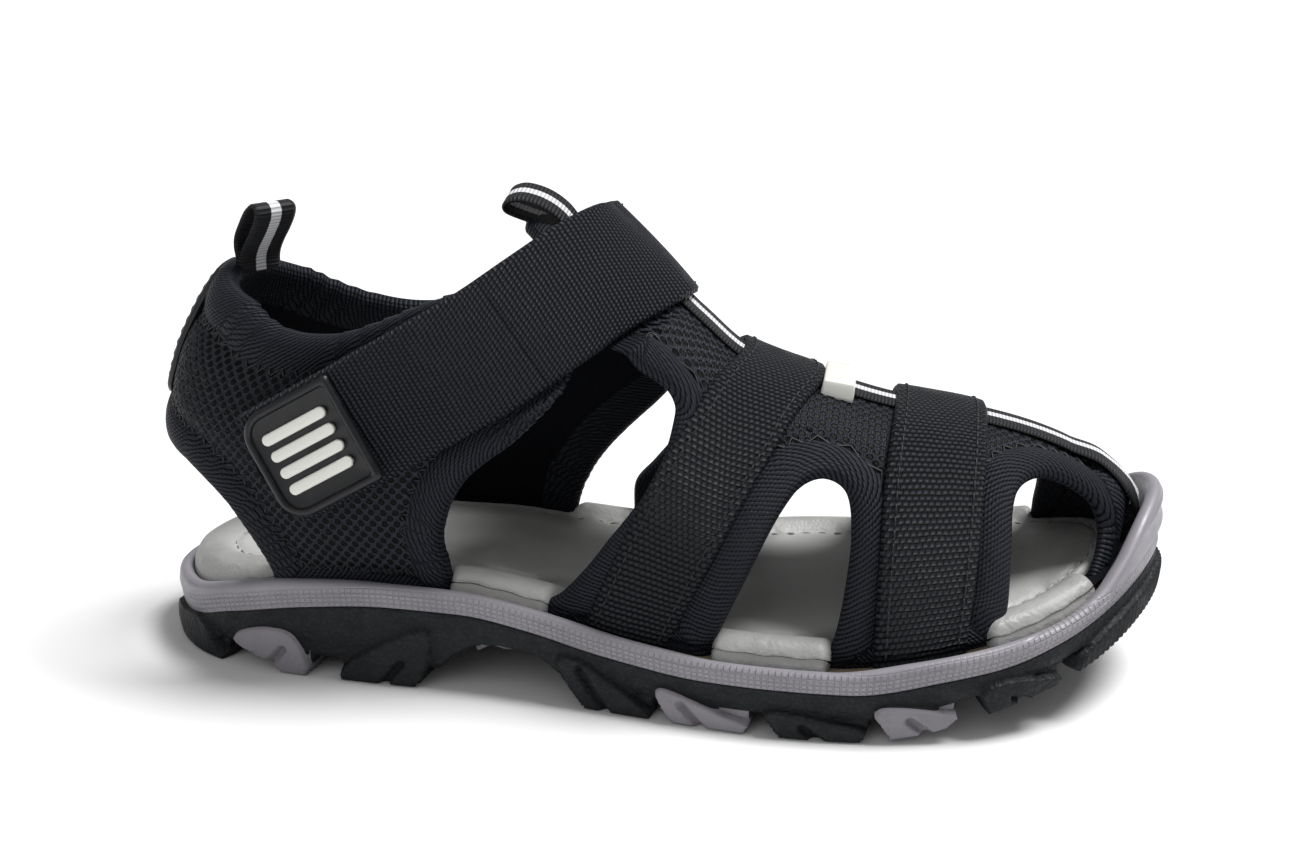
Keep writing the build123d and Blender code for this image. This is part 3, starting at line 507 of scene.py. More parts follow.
# ---------------------------------------------------------------- materials
class Shader:
    """Builds a procedural material. Pattern coordinates are millimetres on the piece."""

    def __init__(self, name, colour, roughness, **values):
        self.material = bpy.data.materials.new(name)
        self.material.use_nodes = True
        self.tree = self.material.node_tree
        self.surface = self.tree.nodes["Principled BSDF"]
        self.surface.inputs["Base Color"].default_value = (*colour, 1)
        self.surface.inputs["Roughness"].default_value = roughness
        for key, value in values.items():
            self.surface.inputs[key.replace("_", " ")].default_value = value
        self.material.diffuse_color = (*colour, 1)
        self.height = None

    def node(self, kind, properties=None, **inputs):
        made = self.tree.nodes.new("ShaderNode" + kind)
        for key, value in (properties or {}).items():
            setattr(made, key, value)
        for key, value in inputs.items():
            numbered = key[0] == "i" and key[1:].isdigit()
            socket = made.inputs[int(key[1:]) if numbered else key.replace("_", " ")]
            if isinstance(value, bpy.types.NodeSocket):
                self.tree.links.new(value, socket)
            else:
                socket.default_value = value
        return made.outputs[0]

    def uv(self, layer, turn=0.0):
        source = self.tree.nodes.new("ShaderNodeUVMap")
        source.uv_map = layer
        return self.node("Mapping", Vector=source.outputs[0], Rotation=(0, 0, math.radians(turn)))

    def place(self):
        source = self.tree.nodes.new("ShaderNodeTexCoord")
        return self.node("Mapping", Vector=source.outputs["Object"], Scale=(1 / MM,) * 3)

    def math(self, operation, a, b=0.0):
        return self.node("Math", {"operation": operation}, i0=a, i1=b)

    def times(self, a, b):
        return self.math("MULTIPLY", a, b)

    def plus(self, a, b):
        return self.math("ADD", a, b)

    def ribs(self, run, pitch):
        """Rounded ribs a pitch apart: 0 in the grooves, 1 on the crowns."""
        return self.math("ABSOLUTE", self.math("SINE", self.times(run, math.pi / pitch)))

    def part(self, vector, axis):
        made = self.tree.nodes.new("ShaderNodeSeparateXYZ")
        self.tree.links.new(vector, made.inputs[0])
        return made.outputs[axis]

    def noise(self, vector, scale, detail=2.0, roughness=0.5, distortion=0.0):
        return self.node(
            "TexNoise", Vector=vector, Scale=scale, Detail=detail, Roughness=roughness, Distortion=distortion
        )

    def voronoi(self, vector, scale, randomness=1.0):
        return self.node("TexVoronoi", Vector=vector, Scale=scale, Randomness=randomness)

    def ramp(self, value, low, high, to_low=0.0, to_high=1.0):
        smooth = {"interpolation_type": "SMOOTHSTEP"}
        return self.node("MapRange", smooth, i0=value, i1=low, i2=high, i3=to_low, i4=to_high)

    def mix(self, share, a, b):
        made = self.tree.nodes.new("ShaderNodeMix")
        made.data_type = "RGBA"
        for socket, value in ((made.inputs[0], share), (made.inputs[6], a), (made.inputs[7], b)):
            if isinstance(value, bpy.types.NodeSocket):
                self.tree.links.new(value, socket)
            else:
                socket.default_value = value if socket is made.inputs[0] else (*value, 1)
        return made.outputs[2]

    def colour(self, value):
        self.tree.links.new(value, self.surface.inputs["Base Color"])

    def rough(self, value):
        self.tree.links.new(value, self.surface.inputs["Roughness"])

    def bump(self, height, millimetres, strength=1.0):
        made = self.tree.nodes.new("ShaderNodeBump")
        made.inputs["Strength"].default_value = strength
        made.inputs["Distance"].default_value = millimetres * MM
        self.tree.links.new(height, made.inputs["Height"])
        if self.height is not None:
            self.tree.links.new(self.height, made.inputs["Normal"])
        self.height = made.outputs[0]
        self.tree.links.new(self.height, self.surface.inputs["Normal"])

    def weave(self, vector, pitch_u, pitch_v, sharp=0.7):
        """Over-and-under weave height: two sets of threads that pass over each other in turn."""
        u = self.times(self.part(vector, 0), math.pi / pitch_u)
        v = self.times(self.part(vector, 1), math.pi / pitch_v)
        turns = self.times(self.math("SINE", u), self.math("SINE", v))
        threads_u = self.math("ABSOLUTE", self.math("SINE", u))
        threads_v = self.math("ABSOLUTE", self.math("SINE", v))
        over = self.math("GREATER_THAN", turns, 0.0)
        body = self.plus(self.times(over, threads_v), self.times(self.math("SUBTRACT", 1.0, over), threads_u))
        crown = self.math("POWER", self.math("ABSOLUTE", turns), 0.5)
        return self.plus(self.times(body, 1 - sharp), self.times(crown, sharp))


def fuzz(shader, layer="flat", amount=0.12):
    """Fibre-scale grain shared by the fabrics."""
    shader.bump(shader.noise(shader.uv(layer), 3.2, 3.0, 0.7), amount, 0.5)


def knit_binding():
    s = Shader("knit_binding", (0.011, 0.0125, 0.017), 0.5, Specular_IOR_Level=0.1)
    at = s.uv("rim")
    warp = s.noise(at, 0.35, 2.0)
    slanted = s.plus(s.plus(s.part(at, 0), s.times(s.part(at, 1), 0.9)), s.times(warp, 0.9))
    rib = s.math("POWER", s.ribs(slanted, 1.05), 0.6)
    loops = s.ribs(s.part(at, 1), 0.62)
    height = s.plus(s.times(rib, 0.75), s.times(loops, 0.25))
    # painted shade: the knit's grooves are painted near-black and its rib crowns lighter, for the shade between the
    # ribs
    s.colour(s.mix(s.ramp(height, 0.25, 0.95), (0.0012, 0.0014, 0.002), (0.021, 0.0235, 0.031)))
    s.bump(height, 0.45, 1.0)
    fuzz(s, "rim")
    return s.material


def spacer_mesh():
    s = Shader("spacer_mesh", (0.016, 0.018, 0.023), 0.45, Specular_IOR_Level=0.1)
    hole = s.ramp(s.voronoi(s.uv("flat", MESH_TURN), 1 / MESH_CELL, 0.0), 0.28, 0.44)
    yarn = s.ribs(s.part(s.uv("flat"), 0), 0.42)
    height = s.times(hole, s.plus(0.8, s.times(yarn, 0.2)))
    # painted shade: the mesh has no real holes, so each hole is painted near-black for the shade inside it, and the
    # yarn between them lighter
    s.colour(s.mix(hole, (0.0003, 0.0003, 0.0004), (0.026, 0.029, 0.037)))
    s.bump(height, 0.6, 1.0)
    fuzz(s)
    return s.material


def lining_cloth():
    s = Shader("lining_cloth", (0.0028, 0.0034, 0.0055), 0.8, Specular_IOR_Level=0.12)
    at = s.uv("flat")
    s.bump(s.weave(at, 0.5, 0.5), 0.15, 0.6)
    fuzz(s)
    return s.material


def strap_webbing(name, pitch_u, pitch_v, dark=(0.0009, 0.001, 0.0014), light=(0.023, 0.026, 0.034)):
    """Coarse woven webbing: ribs across the band, each a row of bumps set half a bump on from the last. Its dark colour
    is painted shade in the grooves, its light colour the crowns.
    """
    s = Shader(name, light, 0.5, Specular_IOR_Level=0.14)
    at = s.uv("flat")
    wander = s.noise(at, 0.25, 2.0)
    run = s.plus(s.math("DIVIDE", s.part(at, 0), pitch_u), s.times(wander, 0.5))
    step = s.times(s.math("FLOORED_MODULO", s.math("FLOOR", run), 2.0), 0.5)
    across = s.plus(s.math("DIVIDE", s.part(at, 1), pitch_v), step)
    rib = s.math("SINE", s.times(s.math("FRACT", run), math.pi))
    bead = s.math("SINE", s.times(s.math("FRACT", across), math.pi))
    beads = s.plus(0.4, s.times(s.math("POWER", bead, 0.7), 0.6))
    height = s.times(s.math("POWER", rib, 0.7), beads)
    # painted shade: the grooves between ribs and beads are painted near-black, the crowns lighter
    s.colour(s.mix(s.ramp(height, 0.2, 0.9), dark, light))
    s.rough(s.ramp(wander, 0.3, 0.7, 0.42, 0.56))
    s.bump(height, 0.5, 1.0)
    fuzz(s, "flat", 0.08)
    return s.material


def striped_tape():
    s = Shader("striped_tape", (0.02, 0.02, 0.022), 0.6, Specular_IOR_Level=0.3)
    at = s.uv("flat")
    across = s.math("ABSOLUTE", s.part(at, 1))
    ribs = s.ribs(s.part(at, 0), 0.75)
    ragged = s.times(s.noise(at, 1.2), 0.25)
    pale = s.ramp(s.plus(across, ragged), 1.25, 1.42, 1.0, 0.0)
    # painted shade: within each stripe the rib grooves are painted darker than the rib crowns; the pale and dark
    # stripes themselves are the tape's print
    dark = s.mix(ribs, (0.002, 0.002, 0.0026), (0.012, 0.013, 0.016))
    light = s.mix(ribs, (0.5, 0.5, 0.53), (0.8, 0.8, 0.83))
    s.colour(s.mix(pale, dark, light))
    s.bump(ribs, 0.22, 0.8)
    fuzz(s, "flat", 0.05)
    return s.material


def footbed_leather():
    """Soft grained leather, creased over the roll at the edge, and painted paler in the middle: painted light that
    lifts the shade falling on the middle.
    """
    s = Shader("footbed_leather", (0.3, 0.298, 0.29), 0.45)
    at = s.place()
    from_edge = s.part(s.uv("rim"), 1)
    patches = s.noise(at, 0.05, 3.0, 0.6)
    blotch = s.ramp(patches, 0.3, 0.7)
    rolled = s.mix(blotch, (0.3, 0.3, 0.294), (0.39, 0.388, 0.378))
    # painted light: from 5 to 10 mm in from the edge onwards the footbed is painted paler than the roll, to lift the
    # shade that falls on its middle
    painted_light_middle = s.mix(blotch, (0.45, 0.452, 0.44), (0.54, 0.538, 0.522))
    s.colour(s.mix(s.ramp(from_edge, 5.0, 10.0), rolled, painted_light_middle))
    s.rough(s.ramp(patches, 0.3, 0.7, 0.42, 0.58))
    s.bump(s.voronoi(at, 1.6), 0.12, 0.35)
    s.bump(s.noise(at, 2.4, 4.0, 0.6), 0.12, 0.4)
    creases = s.noise(at, 0.3, 3.0, 0.55, 0.4)
    tight = s.ramp(from_edge, 1.0, 8.0, 1.0, 0.0)
    s.bump(s.times(s.ramp(creases, 0.3, 0.7), s.plus(0.15, tight)), 0.4, 0.35)
    return s.material


def midsole_rubber():
    """Grey rubber, smooth along the top and moulded with a fine lattice along the bottom."""
    s = Shader("midsole_rubber", (0.165, 0.158, 0.175), 0.42)
    at = s.place()
    side = s.uv("rim")
    rise = s.part(side, 1)
    lines = s.math("MINIMUM", s.ribs(s.part(side, 0), 1.25), s.ribs(rise, 1.05))
    cells = s.ramp(lines, 0.1, 0.55, 1.0, 0.0)
    near = s.times(s.ramp(rise, 3.2, 4.8, 1.0, 0.0), s.ramp(rise, 0.15, 0.5))
    s.bump(s.times(cells, near), 0.35, 0.8)
    soft = s.noise(at, 0.06, 3.0)
    s.colour(s.mix(s.ramp(soft, 0.3, 0.7), (0.235, 0.226, 0.25), (0.285, 0.273, 0.3)))
    s.rough(s.ramp(s.noise(at, 0.5, 3.0), 0.35, 0.65, 0.36, 0.5))
    s.bump(s.noise(at, 1.6, 3.0), 0.05, 0.4)
    return s.material


def outsole_rubber():
    """Charcoal rubber with a pebbled skin. The lug layer's u is 1 where a lug is moulded in grey, with dots."""
    s = Shader("outsole_rubber", (0.01, 0.011, 0.013), 0.5, Specular_IOR_Level=0.22)
    at = s.place()
    grain = s.voronoi(at, 1.15, 0.9)
    black = s.mix(s.ramp(grain, 0.15, 0.6), (0.0135, 0.0155, 0.0175), (0.0075, 0.0085, 0.01))
    soft = s.mix(s.ramp(s.noise(at, 0.06, 3.0), 0.3, 0.7), (0.2, 0.192, 0.21), (0.25, 0.238, 0.26))
    grey = s.ramp(s.part(s.uv("lug"), 0), 0.46, 0.54)
    s.colour(s.mix(grey, black, soft))
    s.rough(s.ramp(s.noise(at, 0.3, 3.0), 0.3, 0.7, 0.5, 0.66))
    dots = s.ramp(s.voronoi(at, 1 / 1.5, 0.25), 0.2, 0.45, 1.0, 0.0)
    pebbles = s.times(grain, s.math("SUBTRACT", 1.0, grey))
    s.bump(s.plus(pebbles, s.times(s.times(dots, grey), 0.6)), 0.3, 0.6)
    s.bump(s.noise(at, 3.0, 3.0), 0.06, 0.5)
    return s.material


def smooth_patch():
    s = Shader("smooth_patch", (0.012, 0.014, 0.0155), 0.42, Specular_IOR_Level=0.35)
    at = s.place()
    s.bump(s.noise(at, 2.0, 4.0, 0.6), 0.1, 0.5)
    s.rough(s.ramp(s.noise(at, 0.6, 3.0), 0.3, 0.7, 0.36, 0.5))
    return s.material


def moulded_black():
    s = Shader("moulded_black", (0.006, 0.0066, 0.0085), 0.36, Specular_IOR_Level=0.4)
    at = s.place()
    s.bump(s.noise(at, 1.2, 3.0), 0.04, 0.4)
    s.rough(s.ramp(s.noise(at, 0.5, 3.0), 0.3, 0.7, 0.3, 0.44))
    return s.material


def moulded_white():
    s = Shader("moulded_white", (0.79, 0.79, 0.74), 0.28)
    at = s.place()
    s.bump(s.noise(at, 0.7, 3.0), 0.05, 0.3)
    return s.material


def pile_cloth():
    s = Shader("pile_cloth", (0.005, 0.005, 0.0065), 0.95, Specular_IOR_Level=0.1)
    at = s.place()
    s.bump(s.noise(at, 2.6, 4.0, 0.75), 0.5, 0.9)
    return s.material


def thread(name, colour):
    s = Shader(name, colour, 0.6)
    s.bump(s.noise(s.place(), 4.0, 2.0), 0.05, 0.5)
    return s.material


MESH_CELL, MESH_TURN = 1.7, 45  # the mesh's holes are a square grid of this pitch, turned by this angle
BINDING = knit_binding()
MESH = spacer_mesh()
LINING = lining_cloth()
ANKLE_WEB = strap_webbing("ankle_webbing", 0.98, 0.8)
FRONT_WEB = strap_webbing("front_webbing", 1.15, 1.2, (0.0007, 0.0008, 0.0011), (0.02, 0.0225, 0.0275))
TAPE = striped_tape()
FOOTBED_SKIN = footbed_leather()
MIDSOLE = midsole_rubber()
OUTSOLE = outsole_rubber()
PATCH = smooth_patch()
BADGE = moulded_black()
WHITE = moulded_white()
PILE = pile_cloth()
BLACK_THREAD = thread("black_thread", (0.007, 0.008, 0.01))
PALE_THREAD = thread("pale_thread", (0.36, 0.355, 0.345))
UPPER = (BINDING, MESH, LINING)


# ---------------------------------------------------------------- line of the ankle strap
TIP_PATH = [(-77.5, -31.4, 41.7), (-66, -32.6, 48.6), (-55.3, -32.6, 55)]
FLAP_PATH = [(-46, -32, 60.6), (-38, -30.9, 65.4), (-29, -28, 70.8), (-20, -23.3, 77)]
FLAP_PATH += [(-11.5, -15.5, 82.4), (-5, -6, 85), (-2.4, 3, 84.7)]
BASE_PATH = [(-4.2, 9.8, 83.0), (-10.5, 16.6, 79.2), (-17.5, 20.4, 74.2), (-25, 21.9, 68.8)]
SIDE_WIDTH_DIR, RIDGE_WIDTH_DIR = np.array([0.51, 0, -0.86]), np.array([0.75, 0, -0.66])
STRAP_WIDTH, STRAP_BOW = 25, 0.5  # the webbing's width, and how far its middle stands above its edges
strap_line, strap_run = resample(spline(TIP_PATH + FLAP_PATH + BASE_PATH, count=30), 0.5 * FINE)


def strap_axes(line):
    """Directions along the webbing, across its width and away from the foot."""
    lead = np.gradient(line, axis=0)
    lead /= np.linalg.norm(lead, axis=1, keepdims=True)
    share = np.clip(np.abs(line[:, 1:2]) / 26, 0, 1)  # all on the foot's side from 26 mm off its middle
    across = SIDE_WIDTH_DIR * share + RIDGE_WIDTH_DIR * (1 - share)
    across = across - lead * (across * lead).sum(1, keepdims=True)
    across /= np.linalg.norm(across, axis=1, keepdims=True)
    return lead, across, np.cross(across, lead)


def ribbon(line, width, lift=0.0, step=0.55):
    """Grid and normals of webbing that follows a line, with its width across the foot's slope."""
    _, across, out = strap_axes(line)
    w = np.linspace(-0.5, 0.5, int(width / step / FINE))
    bow = STRAP_BOW * (1 - (2 * w) ** 2)
    grid = line[:, None] + across[:, None] * (w * width)[None, :, None] + out[:, None] * (lift + bow)[None, :, None]
    return grid, np.broadcast_to(out[:, None], grid.shape), w * width


def under_strap(points):
    """Presses soft pieces down to the underside of the ankle webbing where they would come through it."""
    points = np.array(points, float)
    flat = points.reshape(-1, 3)
    axes = strap_axes(strap_line)
    near = np.where(np.abs(flat[:, 0] + 22) < 62)[0]
    for i in range(0, len(near), 3000):
        pick = near[i : i + 3000]
        gap = flat[pick, None] - strap_line[None]
        run = np.abs(np.einsum("pkc,kc->pk", gap, axes[0]))
        side = np.einsum("pkc,kc->pk", gap, axes[1])
        rise = np.einsum("pkc,kc->pk", gap, axes[2])
        k = (run + 0.2 * np.linalg.norm(gap, axis=-1)).argmin(1)
        rows = np.arange(len(pick))
        over, up = side[rows, k], rise[rows, k]
        level = up - STRAP_BOW * (1 - np.clip(over / (STRAP_WIDTH / 2), -1, 1) ** 2) + 1.15
        pressed = -np.log1p(np.exp(np.clip(-1.6 * level, -30, 30))) / 1.6
        share = smoothstep(15.5, 12.7, np.abs(over)) * smoothstep(9, 7, np.abs(up)) * (run[rows, k] < 1.5)
        flat[pick] += axes[2][k] * ((pressed - level) * share)[:, None]
    return flat.reshape(points.shape)


# ---------------------------------------------------------------- upper
BIND = 7.8  # width of the binding round each opening
TUCK = 4.0  # how far below the midsole's rim the upper's hidden edge lies


def mesh_relief(flat):
    """Depth of the spacer mesh's holes, matching the pattern in its material."""
    cos, sin = math.cos(math.radians(MESH_TURN)), math.sin(math.radians(MESH_TURN))
    a = (flat[:, 0] * cos - flat[:, 1] * sin) / MESH_CELL
    b = (flat[:, 0] * sin + flat[:, 1] * cos) / MESH_CELL
    away = np.hypot(a - np.floor(a) - 0.5, b - np.floor(b) - 0.5)
    return 1 - smoothstep(0.22, 0.42, away)


def padded_outer(peak, field, width=BIND):
    """Outer face of a panel: a padded roll along the edge, a sewn groove, then puffy mesh."""

    def made(away, flat):
        roll = np.clip(away / width, 0, 1)
        height = peak * np.sin(math.pi * np.clip(roll * 0.86 + 0.14, 0, 1)) ** 0.7
        puff = field * (1 - np.exp(-np.clip(away - width, 0, None) / 2.2))
        blend = smoothstep(width - 0.7, width + 0.5, away)
        sunk = mesh_relief(flat) * 0.34 * smoothstep(width + 0.2, width + 1.2, away)
        return height * (1 - blend) + (puff + 0.1) * blend - sunk

    return made


def even(value):
    return lambda away, flat: np.full(len(away), float(value))


def zigzag(outline, surface, lift, width=BIND, pitch=2.3, swing=0.9):
    """The zigzag seam that joins a binding to its mesh."""
    ring, run, inward = facing_in(outline, 0.8)
    paths, path = [], []
    for k, s in enumerate(np.arange(0, run[-1], pitch / 2)):
        depth = width + (swing if k % 2 else -swing)
        point = np.array([np.interp(s, run, ring[:, c]) for c in (0, 1)])
        way = np.array([np.interp(s, run, inward[:, c]) for c in (0, 1)])
        spot = point + way * depth
        near, _ = edge_distance(spot[None], ring, run)
        if near[0] > depth * 0.9 and inside(spot[None], ring)[0]:
            path.append(spot)
        else:
            paths.append(path)
            path = []
    made = []
    for spots in [*paths, path]:
        if len(spots) < 3:
            continue
        fine, _ = resample(spots, 0.6)
        place, normal = surface(fine[:, 0], fine[:, 1])
        made.append(under_strap(place + normal * lift))
    return made


OUTER_HOLE_A = [(-20, 14), (-19.5, 18.5), (-15.5, 21.5), (-10.5, 27.5), (-6, 34), (-2, 39.5), (1.5, 45), (4.6, 52)]
OUTER_HOLE_A += [(5.8, 57.2), (5.9, 60.2), (4.4, 62.9), (1.6, 64.9), (-1.2, 66.6), (-4, 69.4), (-9, 74.5), (-15, 79)]
OUTER_HOLE_A += [(-20, 82.5)]
OUTER_HOLE_B = [(15, 8), (15, 13.5), (17, 19), (20, 26), (25, 37), (28.3, 42.8), (31, 45.8), (34.5, 47), (38, 46)]
OUTER_HOLE_B += [(40, 43.2), (40.8, 37), (40.3, 29), (39, 20), (37.2, 13.5), (36.8, 8)]
OUTER_HOLE_C = [(70.7, 10), (70.8, 18.7), (71.5, 24), (71.6, 33), (71.6, 40.5), (73.2, 43.8), (76.8, 44.6)]
OUTER_HOLE_C += [(80.5, 43.6), (85, 41), (88.6, 37.6), (90.2, 33.4), (90, 29), (88.6, 24), (88, 12)]
INNER_HOLE_A = [(-9, 12), (-8.8, 20), (-8.5, 27), (-4.5, 32), (-0.5, 37), (3.2, 42.5), (5.5, 48.5), (6.3, 54.5)]
INNER_HOLE_A += [(5, 60.5), (1.5, 63.8), (-3, 67.5), (-9, 73.5), (-15, 79), (-20, 83)]
INNER_HOLE_B = [(18, 8), (18, 13.5), (19.6, 19), (22.2, 26), (26.6, 37), (29.6, 42.8), (32.2, 45.6), (35.5, 46.6)]
INNER_HOLE_B += [(39, 45.6), (41.2, 42.8), (42, 37), (41.7, 29), (41, 20), (40.4, 13.5), (40.2, 8)]
INNER_HOLE_C = [(69, 12), (69, 19), (69.6, 26), (70, 34), (70.4, 40), (71.8, 43), (74, 43.6), (77, 41.6), (79, 38)]
INNER_HOLE_C += [(79.4, 32), (79, 26), (79, 14)]


def side_path(points, side):
    """Side view points turned into the forefoot form's flat coordinates."""
    line = spline(points, count=10)
    return np.stack([line[:, 0], fore_v_at(line[:, 0], line[:, 1], side)], 1)


def tuck(x0, x1, side):
    """The hidden edge inside the rim from x0 to x1."""
    x = np.arange(x0, x1, 1.0 if x1 > x0 else -1.0)
    z = np.minimum(rim_top(x) - TUCK, ridge_top(x) - 3)
    return np.stack([x, fore_v_at(x, z, side)], 1)


def clip_low(path, side):
    """Cuts a side path off where it goes below the hidden edge."""
    floor = fore_v_at(path[:, 0], rim_top(path[:, 0]) - TUCK, side)
    return path[path[:, 1] * side < floor * side]


hole_a = clip_low(side_path(OUTER_HOLE_A, -1), -1)
inner_a = clip_low(side_path(INNER_HOLE_A, 1), 1)
outer_b, outer_c = (clip_low(side_path(h, -1), -1) for h in (OUTER_HOLE_B, OUTER_HOLE_C))
inner_b, inner_c = (clip_low(side_path(h, 1), 1) for h in (INNER_HOLE_B, INNER_HOLE_C))
tip = np.linspace(0, math.pi, 15)[1:-1]
toe_x = 95.1
toe_low, toe_high = (fore_v_at(toe_x, ridge_top(toe_x) - 4, side) for side in (-1, 1))
toe_end = np.stack(
    [toe_x + 1.5 * np.sin(tip), (toe_low + toe_high) / 2 - (toe_high - toe_low) / 2 * np.cos(tip)], 1
)
tongue_end = np.array([(-24.5, -9.5), (-27.2, -5.5), (-28, 0), (-27.2, 5.5), (-24.5, 9.5)], float)
vamp_outline = np.vstack(
    [
        tongue_end[::-1],
        hole_a[::-1],
        tuck(-19, 15, -1),
        outer_b,
        tuck(38, 70, -1),
        outer_c,
        tuck(89, 95, -1),
        toe_end,
        tuck(95, 80, 1),
        inner_c[::-1],
        tuck(68, 41, 1),
        inner_b[::-1],
        tuck(17, -8, 1),
        inner_a,
    ]
)
vamp = panel(
    "vamp_and_tongue", vamp_outline, fore, padded_outer(1.75, 0.7), even(-1.95), UPPER, BIND, 0.55, shape=under_strap
)
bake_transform(vamp)
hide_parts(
    "vamp_mesh_outer", "vamp_mesh_inner", "vamp_lining_outer", "vamp_lining_inner", "vamp_binding_outer",
    "vamp_binding_inner", "tongue_panel", "tongue_foam", "tongue_lining",
)
vamp_seam = threads("vamp_seam", zigzag(vamp_outline, fore, 0.3), 0.22, BLACK_THREAD, 4)
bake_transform(vamp_seam)


def heel_path(points, side):
    """Side view points turned into the heel form's flat coordinates."""
    line = spline(points, count=8)
    return np.stack([heel_s_at(line[:, 0], line[:, 1], side), line[:, 1]], 1)


COLLAR_OUTER = [(-79, 75.6), (-75, 72.9), (-69, 70.9), (-60, 71.2), (-52, 73.9), (-45, 77), (-38, 79.6), (-30, 81)]
COLLAR_OUTER += [(-22, 80), (-15.6, 75.5), (-13.2, 69.5), (-14.8, 63.8), (-18.3, 59.2), (-22, 55), (-26, 51)]
COLLAR_OUTER += [(-31, 47), (-35, 43), (-38.2, 37), (-39.5, 30.6), (-38.6, 25), (-37.6, 20), (-37.4, 15)]
COLLAR_INNER = [(-80, 74.5), (-74, 71), (-66, 68), (-56.4, 66.8), (-48, 68), (-40, 72), (-32, 76.5), (-24, 80.5)]
COLLAR_INNER += [(-17, 82.4), (-11, 81.5), (-5, 78.3), (1, 73.6), (5.5, 68.5), (7.6, 63.5), (7.2, 59), (4, 55)]
COLLAR_INNER += [(0, 50.5), (-4, 46), (-9, 41), (-14, 35.5), (-18, 29.5), (-20.5, 23), (-21, 18), (-21, 13)]
REAR = [(-75.4, 15), (-75.6, 19.5), (-77, 23), (-80, 28), (-84.3, 34), (-89, 38.2), (-93.5, 41.2)]
quarter_outline = np.vstack(
    [
        [(0, 79.8), (-6, 79.5), (-11, 78.4)],
        heel_path(COLLAR_OUTER, -1),
        heel_path(REAR, -1),
        [(-9, 44.5), (-4, 46.7), (0, 47.2), (4, 46.7), (9, 44.5)],
        heel_path(REAR, 1)[::-1],
        heel_path(COLLAR_INNER, 1)[::-1],
        [(11, 78.2), (6, 79.5)],
    ]
)
quarter = panel(
    "quarter", quarter_outline, heel, padded_outer(1.7, 1.0), even(-3.4), UPPER, BIND, 0.55,
    flip=True, round_edge=2.2, shape=under_strap,
)
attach(quarter, "sandal")
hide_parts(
    "quarter_mesh_outer", "quarter_mesh_inner", "quarter_foam_outer", "quarter_foam_inner",
    "quarter_lining_outer", "quarter_lining_inner", "quarter_binding_outer", "quarter_binding_inner",
    "ear_mesh", "ear_lining", "ear_binding",
)
quarter_seam = threads("quarter_seam", zigzag(quarter_outline, heel, 0.3), 0.22, BLACK_THREAD, 4)
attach(quarter_seam, "sandal")


# ---------------------------------------------------------------- webbing and tape
def band(name, grid, normals, thickness, material, along, across, edge=0.35):
    """A flat woven band: a grid of middle points made as thick as stated, with rounded selvages."""
    w = np.linspace(0, 1, grid.shape[1])
    inset = np.minimum(w, 1 - w) * np.linalg.norm(grid[0, -1] - grid[0, 0])
    half = thickness / 2 * np.sqrt(np.clip(1 - (1 - np.clip(inset / edge, 0, 1)) ** 2, 0.0, 1)) + 0.02
    offset = normals * half[None, :, None]
    rows = np.concatenate([grid + offset, (grid - offset)[:, ::-1]], 1)
    uv = np.stack(np.broadcast_arrays(along[:, None], across[None, :]), -1)
    uv = np.concatenate([uv, uv[:, ::-1]], 1)[:, ::-1].reshape(-1, 2)
    return strip(name, rows[:, ::-1], [material], {"flat": uv}, closed=True, caps=True)


def over_fore(left, right, lift):
    """Grid, normals and distances of a strap over the forefoot.

    left and right give x by the share of the way down the outer side, below 0, or the inner side, above 0."""
    step, end_depth = 0.5, 3.0  # of its grid, and of its ends below the midsole's rim
    share = np.linspace(-1, 1, int(135 / step / FINE))
    w = np.linspace(0, 1, int(17 / step / FINE))
    x = left(share)[:, None] * (1 - w) + right(share)[:, None] * w
    outer_end, inner_end = (fore_v_at(x, rim_top(x) - end_depth, side) for side in (-1, 1))
    place, normal = fore(x, np.abs(share)[:, None] * np.where(share[:, None] < 0, outer_end, inner_end))
    grid = place + normal * (lift(share[:, None], w[None, :]))[..., None]
    middle = grid[:, len(w) // 2]
    width = np.linalg.norm(grid[len(share) // 2, -1] - grid[len(share) // 2, 0])
    return grid, normal, lengths(middle), (w - 0.5) * width


def strap_lift(base):
    """Straps press into the binding at their edges and ride over it in the middle."""

    def made(share, w):
        ripple = 0.12 * np.sin(share * 19 + 2 * w) + 0.1 * np.sin(share * 7.3 + 1)
        return base + 0.35 * (1 - (2 * w - 1) ** 4) + ripple

    return made


instep = over_fore(
    curve([(-1, -11), (-0.6, 1.5), (-0.3, 10.5), (0, 16), (0.3, 12), (0.6, 5), (1, -6)]),
    curve([(-1, 5.8), (-0.6, 18), (-0.3, 27), (0, 33.2), (0.3, 29), (0.6, 22), (1, 11)]),
    strap_lift(1.5),
)
toe = over_fore(
    curve([(-1, 46.3), (-0.5, 46.2), (0, 47.5), (0.5, 46.2), (1, 46)]),
    curve([(-1, 63.2), (-0.5, 65.0), (0, 66), (0.5, 64.5), (1, 63)]),
    strap_lift(1.75),
)
for name, (grid, normals, along, across) in (("instep_strap_webbing", instep), ("toe_strap_webbing", toe)):
    piece = band(name, grid, normals, 1.3, FRONT_WEB, along, across)
    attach(piece, "sandal")
    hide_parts(name.replace("_webbing", ""))
    edges = []
    for k in (4, -5):
        line = grid[:, k // int(FINE) if FINE > 1 else k] + normals[:, k] * 0.62
        edges += stitches(line, normals[:, k], 1.9, 0.7, 0.1, 0.2)
    sewn = threads(name + "_stitching", edges, 0.2, BLACK_THREAD, 5)
    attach(sewn, "sandal")

